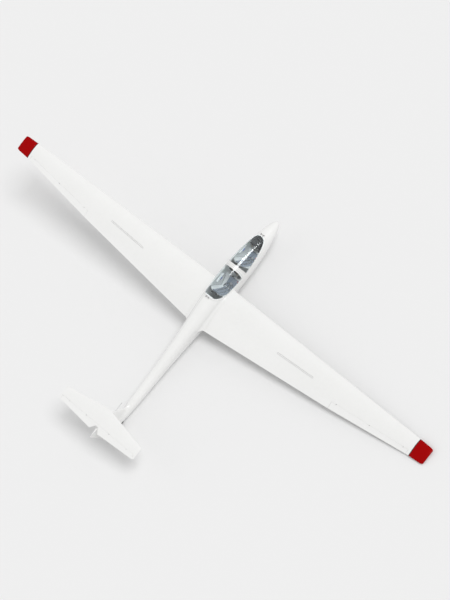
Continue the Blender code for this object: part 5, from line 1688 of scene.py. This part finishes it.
# A dial's first tick and sweep in degrees clockwise from the top, count of ticks, every so many long,
# the numbers at its long ticks, and where its needle rests
dialKinds = {
    "speed": (20, 300, 31, 5, ["0", "5", "10", "15", "20", "25", "30"], 20),
    "height": (0, 360, 51, 5, ["0", "1", "2", "3", "4", "5", "6", "7", "8", "9", ""], 0),
    "climb": (130, 280, 21, 4, ["4", "2", "0", "2", "4", ""], 270),
}


def podFace(label):  # centre of the pod's aft face, and its unit vectors right, up and out
    top, low = (np.array([0, *point]) for point in pods[label]["face"])
    up = (top - low) / np.linalg.norm(top - low)
    right = np.array([-1.0, 0, 0])
    return (top + low) / 2, np.stack([right, up, np.cross(right, up)])


def onFace(face, u, v, w):
    return face[0] + np.stack(np.broadcast_arrays(u, v, w), -1) @ face[1]


def barRings(face, start, end, half, low, high):  # a flat bar from one (u, v) point to another
    start, end = np.asarray(start, float), np.asarray(end, float)
    ahead = (end - start) / np.linalg.norm(end - start)
    side = np.array([-ahead[1], ahead[0]]) * half
    rings = []
    for point in (start, end):
        a, b = point + side, point - side
        rings.append([
            onFace(face, *a, low), onFace(face, *a, high), onFace(face, *b, high), onFace(face, *b, low)
        ])
    return np.array(rings)


def aroundDial(degrees, radius):  # (u, v) from a dial's centre, clockwise from the top
    turn = math.radians(degrees)
    return np.array([math.sin(turn), math.cos(turn)]) * radius


def numberMesh(words, face, u, v, w, size):  # plain figures lying on the face, centred on a point
    data = bpy.data.curves.new("figure", "FONT")
    data.body = words
    data.size = size
    data.align_x, data.align_y = "CENTER", "CENTER"
    data.extrude = 0.0001
    data.resolution_u = 2
    made = newObject("figure", data)
    bpy.context.view_layer.update()
    mesh = bpy.data.meshes.new_from_object(made.evaluated_get(bpy.context.evaluated_depsgraph_get()))
    bpy.data.objects.remove(made)
    flat = meshPoints(mesh)
    movePoints(mesh, toRow(onFace(face, u + flat[:, 0], v + flat[:, 1], w + flat[:, 2])))
    return mesh


def joinAll(name, meshes):
    shape = bmesh.new()
    for mesh in meshes:
        shape.from_mesh(mesh)
    joined = bpy.data.meshes.new(name)
    shape.to_mesh(joined)
    shape.free()
    return newObject(name, joined)


def makeDial(face, kind, u, v, radius):  # bezel rings, then its marks and figures
    first, sweep, count, every, numbers, rest = dialKinds[kind]
    centre = np.array([u, v])
    bezel = latheRings(onFace(face, u, v, 0), face[1][2], [(h, r * radius) for h, r in pods["bezel"]], 48)
    deep = pods["bezel"][-1][0]
    marks = []
    for k in range(count):
        long = k % every == 0
        way = first + sweep * k / (count - 1)
        inner = 0.66 if long else 0.73
        ends = [centre + aroundDial(way, share * radius) for share in (inner, 0.80)]
        marks.append(ringMesh(
            "tick", barRings(face, *ends, pods["tick"] / (1.6 if long else 2.6), deep, deep + 0.0003)
        ))
        if long and numbers[k // every]:
            spot = centre + aroundDial(way, 0.51 * radius)
            size = pods["digit"] * radius / 0.040
            marks.append(numberMesh(numbers[k // every], face, *spot, deep + 0.0002, size))
    ends = [centre + aroundDial(rest, -0.16 * radius), centre + aroundDial(rest, 0.74 * radius)]
    marks.append(ringMesh("needle", barRings(face, *ends, pods["needle"] / 2, deep + 0.001, deep + 0.0016)))
    boss = latheRings(
        onFace(face, u, v, deep - 0.0005), face[1][2], [(0, 0.0042), (0.0028, 0.0042), (0.0034, 0.003)], 20
    )
    return [bezel, boss], marks


def makePod(label):
    spec, face = pods[label], podFace(label)
    outline = spec["outline"] + spec["face"]
    body = sidePrism(f"{label}_instrument_pod_case", outline, -spec["half"], spec["half"])
    roundEdges(body, pods["round"], degrees=30)
    start, end, low, high = spec["foot"]
    half = pods["footHalf"]
    foot = sidePrism("foot", [(start, low), (end, low), (end, high), (start, high)], -half, half)
    carve(body, [foot], "UNION")
    dress(body, "crackleBlack", "airframe", [f"{label}_instrument_pod"])
    tall = np.linalg.norm(np.subtract(*map(np.array, spec["face"]))) / 2 - pods["plateIn"]
    wide = spec["half"] - pods["plateIn"]
    centre, turn = face
    plate = framePlate(centre, turn[0], turn[2], turn[1], (2 * wide, 2 * pods["plate"], 2 * tall), 0.0015)
    ringPiece(f"{label}_panel_plate", plate, "cabinGrey", "airframe", degrees=40)
    front = (centre + turn[2] * pods["plate"], turn)
    cases, marks, metal = [], [], []
    for kind, u, v, radius in spec["dials"]:
        parts, scale = makeDial(front, kind, u, v, radius)
        cases += parts
        marks += scale
        for corner in ((1, 1), (-1, 1), (-1, -1), (1, -1)):
            spot = onFace(front, u + corner[0] * radius * 0.80, v + corner[1] * radius * 0.80, 0)
            metal.append(latheRings(
                spot, turn[2], [(-0.001, 0.0026), (0.0012, 0.0026), (0.0018, 0.0018)], 10
            ))
    u, v = spec["radio"]
    place = onFace(front, u, v, 0.004)
    cases.append(framePlate(place, turn[0], turn[2], turn[1], (0.058, 0.010, 0.058), 0.003))
    marks.append(ringMesh(
        "window", barRings(front, (u - 0.020, v + 0.012), (u + 0.020, v + 0.012), 0.009, 0.0088, 0.0094)
    ))
    for du, dv, radius in ((-0.017, -0.015, 0.0065), (0.017, -0.015, 0.0065), (0.0, -0.016, 0.004)):
        knob = [(0, radius), (0.010, radius * 0.94), (0.0115, radius * 0.8), (0.0118, radius * 0.3)]
        cases.append(latheRings(onFace(front, u + du, v + dv, 0.008), turn[2], knob, 20))
    u, v = spec["switches"]
    for k in range(3):
        base = onFace(front, u + 0.020 * k, v, 0)
        metal.append(latheRings(base, turn[2], [(-0.001, 0.0055), (0.003, 0.0055), (0.0035, 0.0042)], 6))
        lever = [(0.003, 0.0016), (0.012, 0.0022), (0.014, 0.0020), (0.0148, 0.0010)]
        metal.append(latheRings(base, turn[2] + turn[1] * (0.4 if k else -0.4), lever, 12))
    for cu in (-1, 1):
        for cv in (-1, 1):
            spot = onFace(front, cu * (wide - 0.007), cv * (tall - 0.007), 0)
            metal.append(latheRings(
                spot, turn[2], [(-0.001, 0.0036), (0.0014, 0.0036), (0.0022, 0.0024)], 12
            ))
    if spec["compass"]:
        y, z = spec["compass"]
        base = np.array([0, y - 0.020, z])
        case = [
            (0.0, 0.014), (0.006, 0.022), (0.016, 0.0265), (0.030, 0.0265), (0.034, 0.0245),
            (0.034, 0.0215), (0.030, 0.020)
        ]
        cases.append(latheRings(base, (0, 1, 0), case, 36))
        card = (np.array([0, y + 0.0103, z]), np.array([[-1.0, 0, 0], [0, 0, 1], [0, 1, 0]]))
        for k in range(-4, 5):
            tall = 0.0046 if k % 2 == 0 else 0.0026
            marks.append(ringMesh(
                "tick", barRings(card, (k * 0.0038, -0.007), (k * 0.0038, -0.007 + tall), 0.0005, 0, 0.0003)
            ))
        marks.append(numberMesh("24", card, 0, 0.004, 0.0001, 0.009))
    ringPieces(f"{label}_dial_cases", cases, "crackleBlack", "airframe", degrees=40)
    ringPieces(f"{label}_panel_metal", metal, "steel", "airframe", degrees=40)
    dress(joinAll(f"{label}_dial_marks", marks), "paleDial", "airframe")
    knob = onFace(front, 0.118 if label == "rear" else -0.128, -0.100 if label == "front" else -0.090, 0)
    stem = [(-0.001, 0.0075), (0.003, 0.0075), (0.003, 0.0030), (0.022, 0.0030)]
    ringPiece(
        f"{label}_release_stem", latheRings(knob, turn[2], stem, 16), "steel", "airframe"
    )
    ball = ballProfile(0.030, 0.0115, 14)
    ringPiece(
        f"{label}_release_knob", latheRings(knob, turn[2], ball, 28), "yellowKnob", "airframe",
        degrees=70
    )


for label in ("front", "rear"):
    makePod(label)
print("instrument pods ready")


# Controls: stick foot, pedal bar y and z, and airbrake lever, by seat
controls = {
    "front": {"stickY": 1.045, "pedal": (0.560, -0.110), "leverY": 1.300},
    "rear": {"stickY": 2.060, "pedal": (1.830, -0.120), "leverY": 2.400},
    "floor": -0.430, "stickLine": [(0.00, 0.01), (0.02, 0.16), (0.07, 0.33), (0.10, 0.44)], "shaft": 0.0105,
    "gripFrom": 0.70, "grip": 0.0168, "ridge": 0.0012, "ridges": 5,
    "boot": [(0.0003, 0.056), (0.004, 0.056), (0.004, 0.046)], "bootTall": 0.105, "folds": 6, "fold": 0.0035,
    "pedalX": 0.125, "pedalHalf": 0.035, "pedalDrop": 0.160, "bar": 0.010,
    "leverX": 0.270, "leverZ": -0.020, "railHalf": 0.160, "railTall": 0.012, "handleHalf": 0.052,
    "handle": 0.0105,
}


def makeStick(label):  # a bent shaft with a grip of shallow finger ridges, out of a folded boot
    y, floor = controls[label]["stickY"], controls["floor"]
    line = smoothPath([(0, y + aft, floor + up) for aft, up in controls["stickLine"]], 14)
    split = int(len(line) * controls["gripFrom"])
    rings = tubeRings(line[:split + 2], controls["shaft"], 20)
    ringPiece(
        f"{label}_stick_shaft", rings, "steel", "airframe", [f"{label}_stick"], degrees=50
    )
    t = np.linspace(0, 1, 46)
    place = split + t * (len(line) - 1 - split)
    path = np.stack([np.interp(place, np.arange(len(line)), line[:, k]) for k in range(3)], -1)
    radius = controls["grip"] - controls["ridge"] * np.cos(2 * np.pi * controls["ridges"] * t)
    radius *= np.sqrt(np.clip(1 - ((t - 0.5) / 0.505) ** 10, 0.02, 1))
    ringPiece(
        f"{label}_stick_grip", tubeRings(path, radius, 24), "vinyl", "airframe", degrees=70
    )
    top = line[-1]
    button = latheRings(top - (0, 0, 0.002), (0, 0.25, 1), [(0, 0.006), (0.004, 0.006), (0.0055, 0.0045)], 20)
    ringPiece(f"{label}_stick_button", button, "redKnob", "airframe", degrees=50)
    trigger = tubeRings(
        smoothPath([path[30] - (0, 0.012, 0), path[27] - (0, 0.030, 0.004), path[20] - (0, 0.032, 0)], 6),
        0.0032, 10
    )
    ringPiece(f"{label}_trim_trigger", trigger, "greenKnob", "airframe", degrees=60)
    up = np.linspace(0, 1, 50)
    taper = 0.045 + (controls["shaft"] + 0.003 - 0.045) * up**0.8
    fold = taper + controls["fold"] * np.sin(2 * np.pi * controls["folds"] * up)
    profile = controls["boot"] + list(zip(
        0.004 + up * controls["bootTall"], np.maximum(fold, controls["shaft"] + 0.001)
    ))
    rings = latheRings((0, y, floor), (0, 0.10, 1), profile, 40)
    ringPiece(f"{label}_stick_boot", rings, "vinyl", "airframe", degrees=70)


def makePedals(label):  # a bar from wall to wall, and under it two plates with ribs and a heel roll
    y, z = controls[label]["pedal"]
    reach = float(insideLimit(y, z))
    parts = [tubeRings([(-reach, y, z), (reach, y, z)], controls["bar"], 20)]
    half, drop = controls["pedalHalf"], controls["pedalDrop"]
    for side in (-1, 1):
        x = side * controls["pedalX"]
        turn = np.eye(3)
        parts.append(framePlate(
            (x, y - 0.001, z - drop / 2), turn[0], turn[1], turn[2], (2 * half, 0.008, drop), 0.0025
        ))
        for k in range(5):
            spot = (x, y + 0.004, z - 0.030 - k * 0.026)
            parts.append(framePlate(spot, turn[0], turn[1], turn[2], (2 * half - 0.014, 0.005, 0.007), 0.002))
        parts.append(tubeRings([(x - half, y + 0.006, z - drop), (x + half, y + 0.006, z - drop)], 0.007, 16))
        for edge in (-1, 1):
            parts.append(latheRings(
                (x + edge * (half + 0.001), y, z), (edge, 0, 0),
                [(0, 0.0165), (0.008, 0.0165), (0.009, 0.014)], 24
            ))
    rings = [f"{label}_pedals"]
    ringPieces(f"{label}_pedal_set", parts, "castAlloy", "airframe", rings, degrees=40)


def makeLever(label):  # a slotted box on the left wall, and a blue handle on a bent stem
    y, z, x = controls[label]["leverY"], controls["leverZ"], controls["leverX"]
    long, tall = controls["railHalf"], controls["railTall"]
    at = np.linspace(y - long, y + long, 24)
    wall = insideLimit(at, z)
    rings = [[(x + 0.003, s, z - tall), (x, s, z - tall + 0.003), (x, s, z + tall - 0.003),
              (x + 0.003, s, z + tall),
              (w, s, z + tall), (w, s, z - tall)] for s, w in zip(at, wall)]
    ringPiece(f"{label}_lever_box", rings, "cabinGrey", "airframe", [f"{label}_brake_lever"])
    slot = framePlate((x, y, z), (1, 0, 0), (0, 1, 0), (0, 0, 1), (0.001, 1.8 * long, 0.007), 0.0004)
    ringPiece(f"{label}_lever_slot", slot, "crackleBlack", "airframe")
    middle = x - 0.012
    path = smoothPath(
        [(x + 0.004, y + 0.03, z), (x - 0.006, y + 0.03, z), (middle, y + 0.02, z), (middle, y, z)], 6
    )
    half = controls["handleHalf"]
    ringPiece(
        f"{label}_lever_stem", tubeRings(path, 0.005, 14), "steel", "airframe", degrees=60
    )
    t = np.linspace(-1, 1, 32)
    radius = controls["handle"] * np.sqrt(np.clip(1 - t**12, 0.01, 1)) * (1 - 0.06 * np.cos(3 * np.pi * t))
    path = np.stack([0 * t + middle, y + half * t, 0 * t + z], -1)
    ringPiece(
        f"{label}_airbrake_handle", tubeRings(path, radius, 22), "blueKnob", "airframe",
        degrees=70
    )
    trimY = y - 0.24
    wall = float(insideLimit(trimY, z + 0.01))
    base = np.array([wall + 0.002, trimY, z + 0.01])
    stem = [(0, 0.009), (0.004, 0.009), (0.004, 0.0035), (0.030, 0.0035)]
    ringPiece(
        f"{label}_trim_stem", latheRings(base, (-1, 0, 0), stem, 16), "steel", "airframe"
    )
    ball = ballProfile(0.034, 0.010, 12)
    ringPiece(
        f"{label}_trim_knob", latheRings(base, (-1, 0, 0), ball, 24), "greenKnob", "airframe",
        degrees=70
    )


for label in ("front", "rear"):
    makeStick(label)
    makePedals(label)
    makeLever(label)
print("controls ready")


# Undercarriage: shares of half width and radius down the tyre's flank, and of its half width at the grooves
rolling = {
    "flank": [(0.62, 0.52), (0.78, 0.556), (0.93, 0.635), (1.00, 0.76), (0.965, 0.86), (0.85, 0.928),
              (0.64, 0.974), (0.32, 0.996), (0.0, 1.0)],
    "shrink": 0.997, "around": 112, "grooves": (0.45, 0.15, -0.15, -0.45), "grooveHalf": 0.034,
    "grooveDeep": 0.019,
    "bore": 0.0105, "boss": 0.014, "web": 0.009, "rim": 0.010, "hubHalf": 0.80, "holes": 6,
    "fork": {"main": 0.030, "nose": 0.024, "tail": 0.018}, "forkGap": 0.005, "forkThick": 0.008,
    "forkRound": 0.0015,
    "axle": 0.010,
}


def tyreProfile(wheel):  # from the left bead over the tread to the right one
    path = smoothPath(rolling["flank"], 8)
    crown = path[::-1]
    flank = path[path[:, 0] > 0.60]
    half, deep = rolling["grooveHalf"], rolling["grooveDeep"]
    even = np.linspace(0.58, -0.58, 15)
    tread = [(x, 0.0) for x in even if min(abs(x - g) for g in rolling["grooves"]) > half * 1.4]
    for g in rolling["grooves"]:
        tread += [(g + half, 0.0), (g + half * 0.7, deep), (g - half * 0.7, deep), (g - half, 0.0)]
    tread = np.array(sorted(tread, reverse=True))
    high = np.interp(np.abs(tread[:, 0]), crown[:, 0], crown[:, 1]) - tread[:, 1]
    mirrored = flank[::-1] * (-1, 1)
    shares = np.vstack([flank, np.column_stack([tread[:, 0], high]), mirrored])
    return shares * (wheel["half"], wheel["radius"] * rolling["shrink"])


def makeWheel(key):
    wheel = wheels[key]
    centre, body = (0, wheel["y"], wheel["z"]), f"{key}_wheel"
    profile = tyreProfile(wheel)
    rings = turnedRings(profile, centre, rolling["around"])
    made = newObject(f"{key}_tyre_tread", ringMesh("tyre", rings, True, False))
    dress(made, "rubber", body, [f"{key}_tyre"], degrees=38)
    seat, bead = profile[0]
    bore, web = rolling["bore"], rolling["web"]
    boss, rim = bore + rolling["boss"], bead - rolling["rim"]
    wide = wheel["half"] * rolling["hubHalf"]
    side = [(wide - 0.001, bore), (wide, bore + 0.001), (wide, boss - 0.002), (wide - 0.002, boss),
            (web + 0.006, boss + 0.001),
            (web, boss + 0.006), (web, rim - 0.006), (web + 0.003, rim - 0.001), (seat - 0.003, rim),
            (seat - 0.0006, rim + 0.001), (seat, rim + 0.003), (seat, bead - seam)]
    rings = turnedRings(side + [(-x, r) for x, r in side[::-1]], centre, 72)
    hub = paintedAs(newObject(f"{key}_hub_casting", ringMesh("hub", rings, True, False)), "castAlloy")
    middle, span = (boss + rim) / 2, rim - boss
    holes, bolts = [], []
    for k in range(rolling["holes"]):
        turn = 2 * math.pi * k / rolling["holes"]
        spot = np.array([0, wheel["y"] + middle * math.cos(turn), wheel["z"] + middle * math.sin(turn)])
        ends = spot - (2 * web, 0, 0), spot + (2 * web, 0, 0)
        holes.append(paintedAs(rodObject("hole", *ends, 0.24 * span, 28), "castAlloy"))
        turn += math.pi / rolling["holes"]
        for face in (-1, 1):
            spot = (
                face * (web - 0.001), wheel["y"] + middle * math.cos(turn),
                wheel["z"] + middle * math.sin(turn)
            )
            size = max(0.07 * span, 0.0022)
            bolts.append(latheRings(
                spot, (face, 0, 0), [(0, size * 1.5), (0.0018, size * 1.5), (0.0018, size * 1.2)], 20
            ))
            bolts.append(latheRings(
                spot, (face, 0, 0), [(0.001, size), (0.0055, size), (0.0060, size * 0.8)], 6
            ))
    stem = (web - 0.002, wheel["y"] + rim - 0.008, wheel["z"])
    bolts.append(latheRings(
        stem, (1, 0, 0), [(0, 0.0028), (0.014, 0.0028), (0.015, 0.0022), (0.018, 0.0022)], 14
    ))
    carve(hub, holes)
    finishSkin(hub, body, "cast_alloy", f"{key}_hub", degrees=35)
    ringPieces(f"{key}_hub_bolts", bolts, "steel", body, degrees=35)


def makeFork(key):  # two plates whose tops follow the well's roof, round below, on an axle with nuts
    wheel, half = wheels[key], rolling["fork"][key]
    y, z = wheel["y"], wheel["z"]
    across = np.linspace(half, -half, 9)
    top = np.column_stack([y + across, z + np.sqrt((wheel["well"] - 2 * seam) ** 2 - across**2)])
    outline = np.vstack([arcPoints(y, z, half, 180, 360, 25), top])
    near = wheel["half"] + rolling["forkGap"]
    far = near + rolling["forkThick"]
    plates, nuts = [], []
    for side in (-1, 1):
        plate = sidePrism("plate", outline, *sorted((side * near, side * far)))
        plates.append(paintedAs(roundEdges(plate, rolling["forkRound"], 2), "steel"))
        room = min(0.008, wheel["wellHalf"] - far - 0.0006)
        nuts.append(latheRings(
            (side * (far - 0.001), y, z), (side, 0, 0), [(0, 0.0165), (room * 0.3 + 0.001, 0.0165)], 24
        ))
        nuts.append(latheRings(
            (side * far, y, z), (side, 0, 0), [(0, 0.0135), (room * 0.9, 0.0135), (room, 0.0115)], 6
        ))
    axle = paintedAs(rodObject("axle", (-far, y, z), (far, y, z), rolling["axle"], 32), "steel")
    fork = carve(plates[0], [plates[1], axle], "UNION")
    fork.name = f"{key}_fork_legs"
    finishSkin(fork, "airframe", "steel_parts", f"{key}_fork", degrees=35)
    ringPieces(f"{key}_axle_nuts", nuts, "steel", "airframe", degrees=35)


for key in wheels:
    makeWheel(key)
    makeFork(key)
print("wheels ready")


# Fittings

fitting = {
    "probe": [(-0.030, 0.0058), (0.000, 0.0058), (0.006, 0.0066), (0.030, 0.0066), (0.036, 0.0048),
              (0.270, 0.0044),
              (0.274, 0.0058), (0.296, 0.0058), (0.300, 0.0046), (0.318, 0.0044), (0.320, 0.0034)],
    "probeZ": 0.620,
    "latch": {"front": (1.300, 0.078), "rear": (2.200, 0.118)}, "latchIn": 0.011,
    "vent": {"front": (1.340, 1.620, 0.175, 0.300), "rear": (2.330, 2.560, 0.250, 0.360)}, "ventRound": 0.045,
    "ventRail": 0.0040,
}


def refinish(name, material):  # a node that stays gets its finish through its own slots
    for slot in frame["nodes"][name].material_slots:
        slot.material = finish[material]


# A knob on a short stem inside each side of the canopy's frame, white on the left, red on the right
def makeLatches(label):
    y, z = fitting["latch"][label]
    for side, which, material, slotName in (
        (1, "left", "paleDial", "white_gelcoat"), (-1, "right", "redKnob", "red_paint")
    ):
        base = np.array([side * (float(hullSide(y, z)) - fitting["latchIn"]), y, z])
        body = f"canopy_{label}"
        plate = [(0, 0.016), (0.004, 0.016), (0.0052, 0.014), (0.0052, 0.0050), (0.020, 0.0050)]
        ringPiece(
            f"{label}_latch_plate_{which}", latheRings(base, (-side, 0, 0), plate, 32), "steel", body,
        )
        t = np.linspace(0, np.pi, 14)
        knob = np.stack([0.026 - 0.013 * np.cos(t), 0.0002 + 0.013 * np.sin(t)], -1)
        knob = latheRings(base, (-side, 0, 0), knob, 30)
        ringPiece(f"{label}_latch_knob_{which}", knob, material, body, degrees=70)


def makeVent(label):  # the sliding window's rail, a rounded loop inside the left of the glass
    low, high, bottom, top = fitting["vent"][label]
    corner = fitting["ventRound"]
    ends = {-1: (low + corner, bottom + corner), 1: (high - corner, top - corner)}
    turns = ((1, 1, 0), (-1, 1, 90), (-1, -1, 180), (1, -1, 270))
    loop = np.vstack([arcPoints(ends[y][0], ends[z][1], corner, at, at + 90, 10) for y, z, at in turns])
    loop = smoothPath(np.vstack([loop, loop[:1]]), 2)[:-1]
    deep = canopies["glassInset"] + canopies["glassThick"] + fitting["ventRail"] * 0.6
    x = hullSide(loop[:, 0], loop[:, 1]) - deep
    path = np.column_stack([x, loop])
    ahead = np.roll(path, -1, 0) - np.roll(path, 1, 0)
    ahead /= np.linalg.norm(ahead, axis=1)[:, None]
    out = np.cross(ahead, (1.0, 0, 0))
    out /= np.linalg.norm(out, axis=1)[:, None]
    over = np.cross(out, ahead)
    angle = np.arange(10) * np.pi / 5
    ring = out[:, None] * np.cos(angle)[None, :, None] + over[:, None] * np.sin(angle)[None, :, None] * 0.45
    rings = path[:, None] + ring * fitting["ventRail"]
    ringPiece(
        f"{label}_vent_rail", rings, "sealTape", f"canopy_{label}", wrapRows=True,
        degrees=70
    )
    y, z = high - 0.035, (bottom + top) / 2
    base = np.array([float(hullSide(y, z)) - deep, y, z])
    knob = latheRings(
        base, (-1, 0, 0), [(0, 0.006), (0.006, 0.005), (0.012, 0.009), (0.015, 0.009), (0.016, 0.007)], 24
    )
    ringPiece(f"{label}_vent_knob", knob, "sealTape", f"canopy_{label}", degrees=50)


probeEdge = finRow(fitting["probeZ"])[0]
probeRings = latheRings((0, probeEdge, fitting["probeZ"]), (0, -1, 0), fitting["probe"], 28)
ringPiece("fin_probe_tube", probeRings, "steel", "airframe", ["fin_probe"])
for label in ("front", "rear"):
    makeLatches(label)
    makeVent(label)
for side in ("left", "right"):
    refinish(f"airbrake_{side}", "gelcoat")
    refinish(f"airbrake_inner_arm_{side}", "castAlloy")
    refinish(f"airbrake_outer_arm_{side}", "castAlloy")
refinish("cockpit_floor", "cabinGrey")
for label in ("nose", "belly"):
    refinish(f"{label}_tow_hook", "steel")
print("fittings ready")
